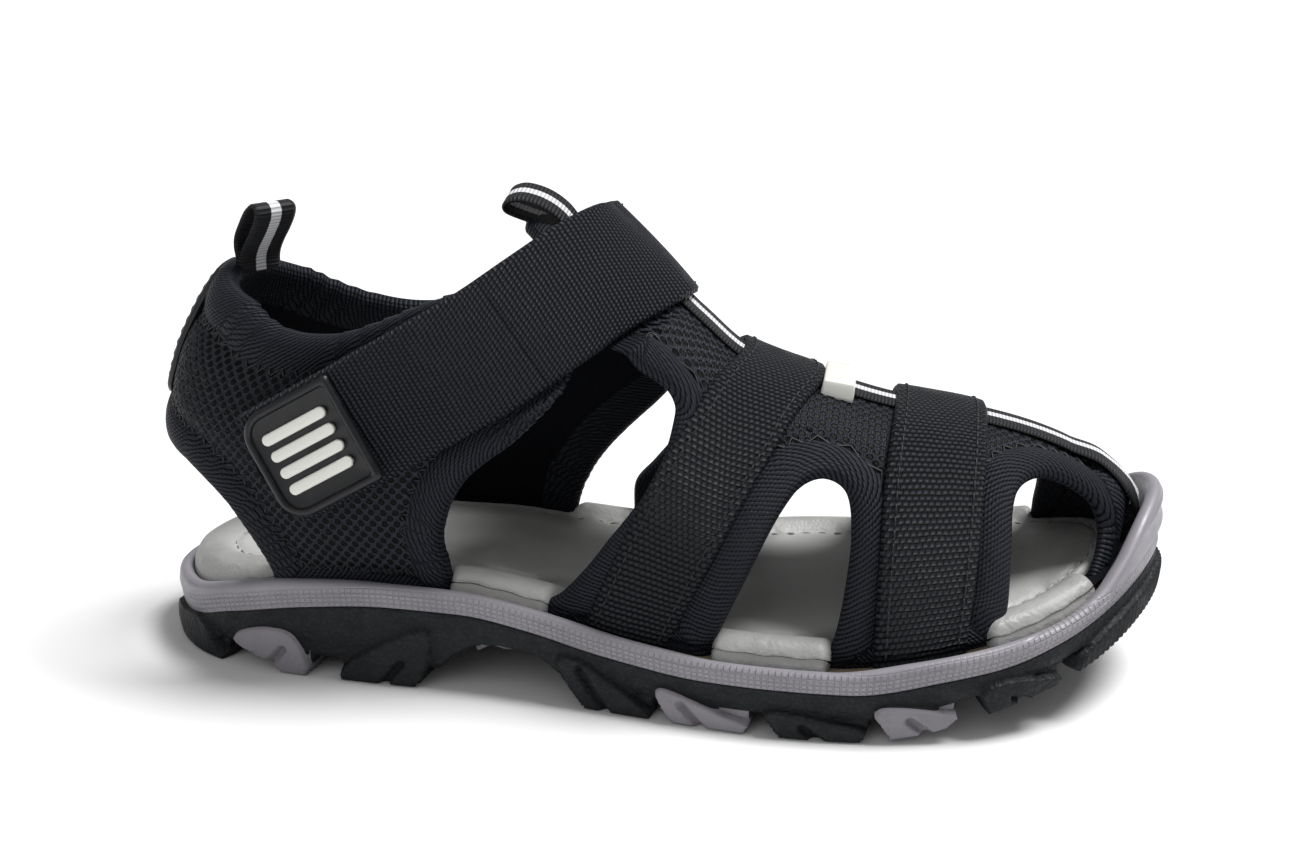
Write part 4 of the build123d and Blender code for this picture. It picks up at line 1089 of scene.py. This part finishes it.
tape_x = np.linspace(2, 96.8, int(95 / 0.5 / FINE))
tape_w = np.linspace(-5, 5, int(16 / FINE))
place, normal = fore(tape_x[:, None] + 0 * tape_w, 0 * tape_x[:, None] + tape_w)
tape_grid = place + normal * (1.1 + 1.15 * smoothstep(83, 89, tape_x[:, None, None]))
centre_tape = band("centre_tape_stripe", tape_grid, normal, 0.8, TAPE, lengths(tape_grid[:, 5]), tape_w, 0.25)
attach(centre_tape, "sandal")
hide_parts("centre_tape")

# ---------------------------------------------------------------- ankle strap
tip_at, middle = (int(np.argmin(np.abs(strap_run - at))) for at in (6, 62))
NEAR_FOLD = ((-6.5, 13, 81.5), (-3.2, 6, 84))  # where the flap starts and ends its bend away from the base
FAR_FOLD = ((-50, -32.3, 58.2), (-60, -32.7, 52.2))  # the same for the free end
NEAR_NODES, FAR_NODES = ("ankle_strap", "ankle_strap_base"), ("strap_end_webbing",)
for name, span, bodies, ends, hidden in (
    ("ankle_webbing_near", np.s_[middle - 1 :], ("sandal", "strap_flap"), NEAR_FOLD, NEAR_NODES),
    ("ankle_webbing_far", np.s_[tip_at:middle], ("strap_flap", "strap_end"), FAR_FOLD, FAR_NODES),
):
    grid, normals, across = ribbon(strap_line[span], STRAP_WIDTH)
    piece = band(name, grid, normals, 1.6, ANKLE_WEB, strap_run[span], across, 0.5)
    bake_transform(piece)
    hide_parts(*hidden)
hook_line = strap_line[(strap_run > 12) & (strap_run < 46)]
fold_at = int(np.argmin(np.linalg.norm(hook_line - np.array([-55, -32.6, 55.2]), axis=1)))
for name, piece_line, body, hidden in (
    ("hook_pile_end", hook_line[: fold_at - 1], "strap_end", "strap_end_hook_patch"),
    ("hook_pile_flap", hook_line[fold_at + 1 :], "strap_flap", "hook_patch"),
):
    grid, normals, across = ribbon(piece_line, 20.5, -1.35)
    piece = band(name, grid, normals, 0.9, PILE, lengths(piece_line), across, 0.4)
    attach(piece, body)
    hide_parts(hidden)

sewn_lines = []
sewn_down = strap_run > 100
grid, normals, across = ribbon(strap_line, STRAP_WIDTH)
for k in (3, -4):
    line = grid[sewn_down, k] + normals[sewn_down, k] * 0.72
    sewn_lines += stitches(line, normals[sewn_down, k], 2.0, 0.8, 0.1, 0.22)
stitching = threads("ankle_base_stitching", sewn_lines, 0.2, BLACK_THREAD, 5)
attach(stitching, "sandal")


# ---------------------------------------------------------------- small moulded trims
def frame_at(origin, x_dir, z_dir):
    """Axes for a trim that lies on a plane."""
    z = np.array(z_dir, float) / np.linalg.norm(z_dir)
    x = np.array(x_dir, float)
    x = x - z * (x @ z)
    x /= np.linalg.norm(x)
    return np.array(origin, float), x, np.cross(z, x), z


def rounded_box(half_x, half_y, radius, front):
    """A rounded rectangle of points, the same number at any size. front is the radius of its two +x corners."""
    made = []
    for k, (sx, sy) in enumerate(((1, 1), (-1, 1), (-1, -1), (1, -1))):
        corner = front if sx > 0 else radius
        turn = math.pi / 2 * k + np.linspace(0, math.pi / 2, 8)
        middle = np.array([sx * (half_x - corner), sy * (half_y - corner)])
        made.append(middle + corner * np.stack([np.cos(turn), np.sin(turn)], 1))
    return np.vstack(made)


def moulded(name, axes, rings, material, shift=(0, 0), square=False):
    """A moulded trim: rounded rectangles (half_x, half_y, radius, height) stacked from its back to its face.

    square makes the corners at its +x end nearly sharp."""
    origin, x, y, z = axes
    rows = []
    for half_x, half_y, radius, height in rings:
        flat = rounded_box(half_x, half_y, radius, min(radius, 0.9) if square else radius) + np.array(shift)
        rows.append(origin + flat[:, :1] * x + flat[:, 1:] * y + height * z)
    return strip(name, rows, [material], closed=True, caps=True)


badge_axes = frame_at((-63.9, -33.75, 50.0), np.subtract(TIP_PATH[2], TIP_PATH[0]), (-0.055, -1, 0.09))
frame_rings = [(10.6, 11.1, 5.2, 0.0), (10.9, 11.4, 5.5, 0.5), (10.95, 11.45, 5.5, 1.1), (10.75, 11.25, 5.4, 1.7)]
frame_rings += [(10.4, 10.9, 5.1, 2.1), (10.1, 10.6, 4.8, 2.2), (9.75, 10.25, 4.4, 2.15), (9.45, 9.95, 4.1, 1.95)]
frame_rings += [(9.3, 9.8, 3.9, 1.65), (9.25, 9.7, 3.8, 1.3), (9.0, 9.4, 3.6, 1.2), (5, 5.5, 1.5, 1.2)]
frame_rings += [(0.5, 1.5, 0.4, 1.2)]
badge = moulded("strap_tab", badge_axes, frame_rings, BADGE, square=True)
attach(badge, "strap_end")
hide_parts("strap_end_badge")
bar_rings = [(7.3, 1.15, 1.14, 1.1), (7.3, 1.15, 1.14, 2.0), (7.15, 1.0, 0.99, 2.3), (6.85, 0.72, 0.71, 2.42)]
bar_rings += [(6.4, 0.3, 0.29, 2.46)]
for number, offset in enumerate((-5.4, -1.8, 1.8, 5.4)):
    bar = moulded(f"tab_bar_{number + 1}", badge_axes, bar_rings, WHITE, (0, offset))
    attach(bar, "strap_end")
    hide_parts("badge_bars")

slope = 0.45 * float(ridge_top(39) - ridge_top(34)) / 5  # the keeper lies flatter than the ridge under it
keeper_axes = frame_at((36.2, -0.9, float(ridge_top(36.2)) + 1.0), (1, 0, slope), (-slope, -0.05, 1))
keeper_rings = [(3.3, 6.6, 0.5, -0.9), (3.35, 6.7, 0.5, 0.0), (3.25, 6.5, 0.45, 1.5), (3.15, 6.35, 0.4, 2.5)]
keeper_rings += [(3.0, 6.2, 0.4, 2.7), (2.8, 6.0, 0.35, 2.8), (1.5, 4.8, 0.2, 2.85)]
keeper = moulded("stripe_keeper", keeper_axes, keeper_rings, WHITE)
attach(keeper, "sandal")
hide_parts("tape_keeper")

tab_outline = rounded([(-8.5, 50.5), (8.5, 50.5), (8.8, 66), (7.5, 78.4), (-7.5, 78.4), (-8.8, 66)], 3)


def tab_outer(away, flat):
    """The heel patch's face, with a stitched groove just inside its edge."""
    return 2.2 + 0.3 * smoothstep(0, 2.5, away) - 0.25 * np.exp(-(((away - 1.9) / 0.35) ** 2))


heel_tab = panel(
    "heel_patch", tab_outline, heel, tab_outer, even(0.4), (PATCH, PATCH, LINING), None, 0.6, ROWS[:6],
    flip=True, round_edge=0.8,
)
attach(heel_tab, "sandal")
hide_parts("heel_tab")
ring, run = resample(tab_outline, 0.6, closed=True)
place, normal = heel(ring[:, 0] * 0.79, 64.5 + (ring[:, 1] - 64.5) * 0.87)
tab_seam = stitches(place + normal * 2.3, normal, 1.8, 0.8, 0.15, 0.12)
tab_stitches = threads("heel_patch_stitching", tab_seam, 0.16, BLACK_THREAD, 5)
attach(tab_stitches, "sandal")

LOOP_PILE = [(-76, 46), (-72, 39), (-69, 35), (-50, 47.2), (-34, 58), (-37.5, 64.5), (-41, 70), (-58, 58.4)]
patch_side = spline(LOOP_PILE, closed=True, count=6)
patch_outline = np.stack([heel_s_at(patch_side[:, 0], patch_side[:, 1], -1), patch_side[:, 1]], 1)
patch = panel(
    "loop_pile", patch_outline, heel, even(2.2), even(1.0), (PILE,) * 3, None, 0.8, ROWS[:4],
    flip=True, round_edge=0.6,
)
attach(patch, "sandal")
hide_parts("loop_patch")


# ---------------------------------------------------------------- pull loops
def pull_loop(name, axes, route, body, hidden, width=10.0):
    """Striped tape folded back on itself, standing on its stitched ends."""
    origin, x, y, z = axes
    line, run = resample(spline(route, count=16), 0.35 * FINE)
    centre = origin + line[:, :1] * x + line[:, 1:] * y
    lead = np.gradient(centre, axis=0)
    lead /= np.linalg.norm(lead, axis=1, keepdims=True)
    out = np.cross(z, lead)
    w = np.linspace(-width / 2, width / 2, int(14 / FINE))
    grid = centre[:, None] + w[None, :, None] * z
    piece = band(name, grid, np.broadcast_to(out[:, None], grid.shape), 0.9, TAPE, run, w, 0.25)
    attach(piece, body)
    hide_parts(hidden)


heel_axes = frame_at((-84, -2, 81), (0.8, -0.6, 0), (-0.6, -0.8, 0))
heel_route = [(0.5, -3.5), (0.7, -0.5), (2.2, 2.2), (4.6, 5.2), (6.6, 8.2), (6.9, 10.2), (5.4, 11), (3.4, 9.8)]
heel_route += [(1.2, 7), (-0.6, 4.2), (-1.1, 1.8), (-0.6, -0.5), (-0.5, -3.5)]
pull_loop("heel_loop_tape", heel_axes, heel_route, "heel_loop", "heel_pull_loop")
tongue_axes = frame_at((-18.5, 0, 87.2), (1, 0, 0.05), (0, -0.98, -0.17))
tongue_route = [(0.8, -3), (0.8, -0.5), (0.2, 2.6), (-2, 5.6), (-5.4, 8), (-9.4, 9.2), (-12.2, 8.4), (-12.4, 6.8)]
tongue_route += [(-9.6, 5.4), (-6, 4), (-2.8, 2), (-0.9, -0.6), (-0.4, -3)]
pull_loop("tongue_loop_tape", tongue_axes, tongue_route, "tongue_loop", "tongue_pull_loop")

# ---------------------------------------------------------------- footbed
OPEN_EDGE, COVERED_EDGE = 2.5, 9.0  # from the sole's edge in to the footbed's, where it shows and where it is covered
ROLL = 9.2  # distance from the outer edge of the roll to its stitch line
CREST = 5.2  # distance from the outer edge of the roll to its crest
COVERED = {  # spans of x that the upper covers on the outer and inner side
    -1: ((-73.6, -39), (-18, 14), (38.6, 69.2), (92.2, 110)),
    1: ((-73.6, -22), (-7.6, 17), (41.4, 68), (81.6, 110)),
}


def edge_inset(x, side):
    """How far the footbed's edge is from the sole's: the upper passes down between them in places."""
    covered = np.zeros_like(x)
    for low, high in COVERED[side]:
        span = smoothstep(low - 1.2, low + 1.2, x) * (1 - smoothstep(high - 1.2, high + 1.2, x))
        covered = np.maximum(covered, span)
    return OPEN_EDGE + (COVERED_EDGE - OPEN_EDGE) * covered


is_outer = np.arange(len(sole_line)) < toe_at
sole_inset = np.where(is_outer, edge_inset(sole_line[:, 0], -1), edge_inset(sole_line[:, 0], 1))
footbed_outline = sole_line - sole_out * sole_inset[:, None]


def level_surface(top, facing):
    """A surface whose height depends on x alone, facing up or down."""

    def made(x, y):
        return np.stack([x, y, top(x)], -1), np.broadcast_to([0.0, 0, facing], (*np.shape(x), 3))

    return made


def bed_outer(away, flat):
    """The footbed's face: a puffy roll round the edge, a sewn groove and a dished middle."""
    reach = edge_distance(flat, sole_line, sole_run)[0] - OPEN_EDGE
    climb = 4.0 * np.sqrt(np.clip(1 - (1 - np.clip(reach / CREST, 0, 1)) ** 2, 0, 1)) - 3.4
    fall = 1.7 * (1 - smoothstep(4.8, ROLL - 0.3, reach)) - 1.1
    roll = np.where(reach < CREST, np.minimum(climb, fall), fall)
    groove = 0.75 * np.exp(-(((reach - ROLL) / 0.6) ** 2))
    dish = 1.3 * smoothstep(ROLL, ROLL + 14, reach) * smoothstep(-20, -60, flat[:, 0])
    swell = 0.35 * np.sin(flat[:, 0] / 9.0) * smoothstep(ROLL, ROLL + 8, reach)
    return roll - groove - dish + swell


footbed = panel(
    "footbed_pad", footbed_outline, level_surface(footbed_top, 1), bed_outer, even(-7.0), (FOOTBED_SKIN,) * 3,
    None, 0.75, round_edge=2.4,
)
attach(footbed, "sandal")
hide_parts("footbed_cover", "footbed_foam")
seam, _ = resample(sole_line - sole_out * (OPEN_EDGE + ROLL), 0.6, closed=True)
seam_top = footbed_top(seam[:, 0]) + bed_outer(None, seam)
seam = np.column_stack([seam, seam_top])
up = np.tile([0.0, 0, 1], (len(seam), 1))
bed_stitches = threads("footbed_stitching", stitches(seam, up, 2.5, 1.1, 0.25, 0.45), 0.24, PALE_THREAD)
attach(bed_stitches, "sandal")

# ---------------------------------------------------------------- midsole
MARGIN_RISE = 4.6  # the lasting margin, on the insole board, above the line between midsole and outsole


def ring_grid(step):
    """Distances round the outline, ending where it starts, with the point and outward direction at each."""
    s = np.linspace(0, sole_length, int(sole_length / step / FINE) + 1)
    point, away = sole_at(s)
    return s, point, away


def sole_rows(point, away, out, up):
    """Rows of points round the sole, each so far out from its outline and so high."""
    return np.concatenate([point[:, None] + away[:, None] * out[..., None], up[..., None]], 2)


s, point, away = ring_grid(0.7)
low = interface(point[:, :1])
tall = rim_top(point[:, :1]) - low
body_up = 0.15 + np.linspace(0, 1, int(26 / FINE)) * (tall - 1.65)
bulge = 0.55 * np.sin(math.pi * np.clip(body_up / tall, 0, 1)) ** 0.8 - 0.1
bulge += 0.3 * smoothstep(0.35, 0.6, body_up / tall)
toe_lean = 0.05 * np.clip(body_up - 6, 0, 20) * smoothstep(86, 100, point[:, :1])
bumps = 0.28 * np.sin(body_up * 1.3) * smoothstep(94, 101, point[:, :1])
round_turn = np.linspace(0.08, math.pi - 0.1, int(12 / FINE))
top_out = -1.6 + 1.6 * np.cos(round_turn)[None, :] + bulge[:, -1:] - toe_lean[:, -1:]
top_up = (tall - 1.5) + 1.6 * np.sin(round_turn)[None, :]
wall_up = (tall - 1.6) - np.linspace(0.4, 5.5, 5)[None, :]
wall_out = -3.3 + 0 * wall_up + bulge[:, -1:] - toe_lean[:, -1:]
foot_out = np.full((len(s), 1), -1.2)
foot_up = np.full((len(s), 1), -0.05)
d = np.concatenate([foot_out, foot_out + 1.1, bulge - toe_lean + bumps, top_out, wall_out], 1)
h = np.concatenate([foot_up, foot_up, body_up, top_up, wall_up], 1)
uv = np.stack([np.broadcast_to(s[:, None], h.shape), np.where(h < 0.1, 0.1, h)], -1).reshape(-1, 2)
midsole = strip("midsole_shell", sole_rows(point, away, d, low + h), [MIDSOLE], {"rim": uv})
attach(midsole, "sandal")
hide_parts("midsole")

margin_in = np.linspace(3.0, 15.0, int(20 / FINE))
margin_x = point[:, :1] - away[:, :1] * margin_in
margin_up = interface(margin_x) + MARGIN_RISE + 0.15 * np.sin(s[:, None] * 0.9 + margin_in * 0.4)
margin_up += 1.2 * (1 - smoothstep(3.0, 4.5, margin_in))
margin_out = np.broadcast_to(-margin_in, margin_up.shape)
uv = np.stack(np.broadcast_arrays(s[:, None], margin_in), -1).reshape(-1, 2)
lasting = strip("lasting_margin", sole_rows(point, away, margin_out, margin_up), [LINING], {"flat": uv})
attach(lasting, "sandal")

# ---------------------------------------------------------------- outsole
ARCH = curve([(-46, -6), (-41.5, 1.5), (-36, 7.5), (-30, 10), (-21, 9.5), (-16, 6.5), (-12, 1), (-9, -6)])
SIDE_LUGS = [  # whether it is grey, and its corners from the side
    (False, [(-101, 1), (-101.5, 8), (-95, 9.5), (-90, 7), (-88, 3), (-85.5, -1), (-99, -1)]),
    (True, [(-84.5, 5.2), (-82.5, 8), (-77, 9.9), (-71, 9.8), (-68.6, 6.5), (-66.8, 1.5), (-68.5, -1), (-72, -1)]
     + [(-76, 2)]),
    (False, [(-60.8, 3), (-60.5, -1), (-43.5, -1), (-41.6, 8), (-41.2, 12.8), (-45, 12.6), (-52, 9)]),
    (False, [(-15.5, 9.5), (-14, 11), (-10, 10.2), (-4, 6.8), (4.2, 1.6), (3.6, -1), (-9, -1), (-12.5, 3.5)]),
    (True, [(4.6, 6), (5.6, 7.4), (9, 6.8), (16, 4.4), (23.4, 2.2), (23.4, 0.8), (21, -1), (9, -1), (6.2, 2.4)]),
    (False, [(25.8, 4.8), (27.6, 5.8), (34, 5), (45.6, 2.8), (46, 1), (43, -1), (30, -1), (27.6, 1.6)]),
    (True, [(46.6, 6.4), (48.4, 7.8), (54, 7.6), (62.6, 6), (63, 4.9), (59, 1.5), (51.5, -1), (48.6, 2.6)]),
    (False, [(66.4, 10.2), (70, 12), (76, 12), (82.4, 11.2), (82, 9.2), (78, 5), (70, 2.5), (67.4, 6.6)]),
    (False, [(85, 13.5), (90, 17.4), (97, 20.8), (104.5, 24.4), (104.5, 15), (96, 10), (88, 7), (85.2, 9.5)]),
]
SLITS = [[(-76.5, 1), (-72.6, 5.4)], [(-52.4, -1), (-47.6, 5)], [(-10.6, 8.5), (-4.6, -0.5)], [(10.2, 4.4), (15, -0.6)]]
SLITS += [[(33.5, 2.6), (38, -0.8)], [(53.5, 5), (57, 2.4)], [(73, 8.6), (76.5, 7)]]
TREAD = 4.0  # depth of the tread


def lug_masks(x, z):
    """How far each side view point is in a black or grey lug, and in a slit: 0 outside, 1 inside."""
    flat = np.stack([np.ravel(x), np.ravel(z)], 1)
    masks = np.zeros((3, len(flat)))
    for grey, corners in SIDE_LUGS:
        ring = rounded(corners, 2)
        near = np.abs(flat[:, 0] - ring[:, 0].mean()) < 20
        away, _ = edge_distance(flat[near], ring, lengths(ring))
        signed = np.where(inside(flat[near], ring), away, -away)
        masks[int(grey), near] = np.maximum(masks[int(grey), near], smoothstep(-0.35, 0.35, signed))
    for (x0, z0), (x1, z1) in SLITS:
        line = np.array([(x0, z0), (x1, z1), (x1, z1), (x0, z0)], float)
        near = np.abs(flat[:, 0] - x0) < 12
        away, _ = edge_distance(flat[near], line, lengths(line))
        masks[2, near] = np.maximum(masks[2, near], 1 - smoothstep(0.45, 0.95, away))
    return masks.reshape(3, *np.shape(x))


def tread_level(x):
    return np.maximum(ground(x) + TREAD, ARCH(x))


s, point, away = ring_grid(0.55)
x = point[:, :1]
drop = np.linspace(0, 1, int(34 / FINE))[None, :]
z = interface(x) + 0.25 - drop * (interface(x) + 0.25 - ground(x) - 0.55)
black, grey, slit = lug_masks(np.broadcast_to(x, z.shape), z)
lug = np.maximum(black, grey)
level = tread_level(x)
ribs = 0.22 * np.sin(s[:, None] * 2 * math.pi / 1.7) * smoothstep(84, 88, x) * (1 - smoothstep(24, 25, z))
hollow = 1.5 * smoothstep(0.25, 1.0, drop) * smoothstep(90, 80, x)
out = (0.95 + 0.35 * np.sin(math.pi * drop)) * lug + ribs - 1.5 * slit * lug - hollow * (1 - lug)
out += 0.15 - 1.15 * (1 - smoothstep(0.0, 0.03, drop))
gap = smoothstep(0.4, -0.4, z - level) * (1 - lug)
out = out - 5.5 * gap
z = z + (np.maximum(z, level) - z) * (1 - lug)
bottom = lug[:, -1:]
curl_out = out[:, -1:] - np.array([[0.25, 0.7, 1.6, 4.0]])
curl_up = z[:, -1:] - np.array([[0.35, 0.5, 0.55, 0.55]]) * bottom
d, h = np.concatenate([out, curl_out], 1), np.concatenate([z, curl_up], 1)
side_wall = strip("outsole_wall", sole_rows(point, away, d, h), [OUTSOLE])
of_grey = np.where(grey > black, grey, 0)
of_grey = np.concatenate([of_grey, np.repeat(of_grey[:, -1:], 4, 1)], 1)


def paint_lugs(piece, grey):
    """Stores how grey each point of a rubber piece is, for its material."""
    write_uv(piece.data, "lug", np.stack([np.ravel(grey), np.zeros(np.size(grey))], 1))


paint_lugs(side_wall, of_grey)
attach(side_wall, "sandal")
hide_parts("outsole", "grey_tread_lugs")

CHEVRONS = (-84, -72, -60, -48, -8, 4, 16, 28, 40, 52, 64, 76)
under_outline = sole_line - sole_out * 0.6


def under_masks(flat, reach):
    """How far down the tread stands at each plan position, and whether it is grey."""
    x, y = flat[:, 0], flat[:, 1]
    shifted = x - 0.18 * reach
    black, grey, slit = lug_masks(shifted, ground(shifted) + 0.6)
    side = smoothstep(15.4, 14.6, reach)
    block = np.maximum(black, grey) * side * (1 - 0.8 * slit)
    chevron = np.zeros(len(x))
    for start in CHEVRONS:
        middle = 2 if start > 0 else -1
        lead = start + 7 * (1 - np.abs(y - middle) / 22) + 2.5
        chevron = np.maximum(chevron, smoothstep(3.1, 2.3, np.abs(x - lead)) * smoothstep(17.0, 18.0, reach))
        sipe = smoothstep(0.75, 0.35, np.abs(x - lead)) * smoothstep(4, 6, np.abs(y - middle))
        chevron = chevron * (1 - 0.6 * sipe)
    pod = smoothstep(5.2, 4.5, np.abs(x + 28.5)) * smoothstep(7.2, 6.4, np.abs(y + 20.5)) * 0.55
    in_arch = smoothstep(0.5, -0.5, ARCH(x) - ground(x) - TREAD)
    return np.maximum(block, chevron) * in_arch, pod, np.where((grey > black) & (reach < 15), grey, 0)


def under_outer(away, flat):
    reach = edge_distance(flat, sole_line, sole_run)[0]
    stand, pod, _ = under_masks(flat, reach)
    full = tread_level(flat[:, 0]) - ground(flat[:, 0])
    web = 0.25 * (np.sin(flat[:, 0] * 1.1) * np.sin(flat[:, 1] * 1.1)) * (1 - stand)
    return stand * full + pod * 4.2 + web


under = panel(
    "outsole_tread", under_outline, level_surface(tread_level, -1), under_outer, even(-3.0), (OUTSOLE,) * 3,
    None, 0.75, (), flip=True, round_edge=0.3,
)
places = np.zeros(len(under.data.vertices) * 3)
under.data.vertices.foreach_get("co", places)
places = places.reshape(-1, 3)[:, :2] / MM
stand, pod, of_grey = under_masks(places, edge_distance(places, sole_line, sole_run)[0])
paint_lugs(under, np.maximum(np.where(stand > 0.3, of_grey, 0), np.where(pod > 0.15, 1, 0)))
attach(under, "sandal")
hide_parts("outsole", "grey_tread_lugs")

# ---------------------------------------------------------------- floor, camera and light
floor_mesh = bpy.data.meshes.new("floor")
floor_mesh.from_pydata([(-4, -4, 0), (4, -4, 0), (4, 4, 0), (-4, 4, 0)], [], [(0, 1, 2, 3)])
floor = bpy.data.objects.new("floor", floor_mesh)
bpy.context.scene.collection.objects.link(floor)
floor_paint = Shader("floor_paint", (0.86, 0.86, 0.86), 0.9)
floor_mesh.materials.append(floor_paint.material)

azimuth, elevation, roll = (math.radians(a) for a in (7.5, 18.0, 0.97))
level, climb = math.cos(elevation), math.sin(elevation)
back = np.array([math.sin(azimuth) * level, -math.cos(azimuth) * level, climb])
right = np.array([math.cos(azimuth), math.sin(azimuth), 0.0])
up = np.cross(back, right)
tilted_right = math.cos(roll) * right + math.sin(roll) * up
tilted_up = -math.sin(roll) * right + math.cos(roll) * up
AIM, DISTANCE = np.array([-1.7, 0, 46.0]), 384.4
spot = (AIM + back * DISTANCE) * MM
lens = bpy.data.cameras.new("camera")
lens.lens, lens.sensor_width, lens.clip_start = 51.17, 36.0, 0.02
camera = bpy.data.objects.new("camera", lens)
turned = np.stack([tilted_right, tilted_up, back], 1)
camera.matrix_world = Matrix([[*row, at] for row, at in zip(turned, spot)] + [[0, 0, 0, 1]])
bpy.context.scene.collection.objects.link(camera)
bpy.context.scene.camera = camera


def softbox(name, toward, strength, spread):
    """A broad, even light from one direction; spread is its angular size in degrees."""
    lamp = bpy.data.lights.new(name, "SUN")
    lamp.energy, lamp.angle = strength, math.radians(spread)
    made = bpy.data.objects.new(name, lamp)
    made.rotation_euler = Vector(toward).to_track_quat("Z", "Y").to_euler()
    bpy.context.scene.collection.objects.link(made)


softbox("key", (0.55, 0.25, 1.3), 3.9, 28)
softbox("fill", (-0.6, -1.0, 0.8), 0.32, 50)
world = bpy.data.worlds.new("studio")
bpy.context.scene.world = world
world.use_nodes = True
world.node_tree.nodes["Background"].inputs["Color"].default_value = (1, 1, 1, 1)
world.node_tree.nodes["Background"].inputs["Strength"].default_value = 0.29
bpy.context.scene.view_settings.view_transform = "Standard"
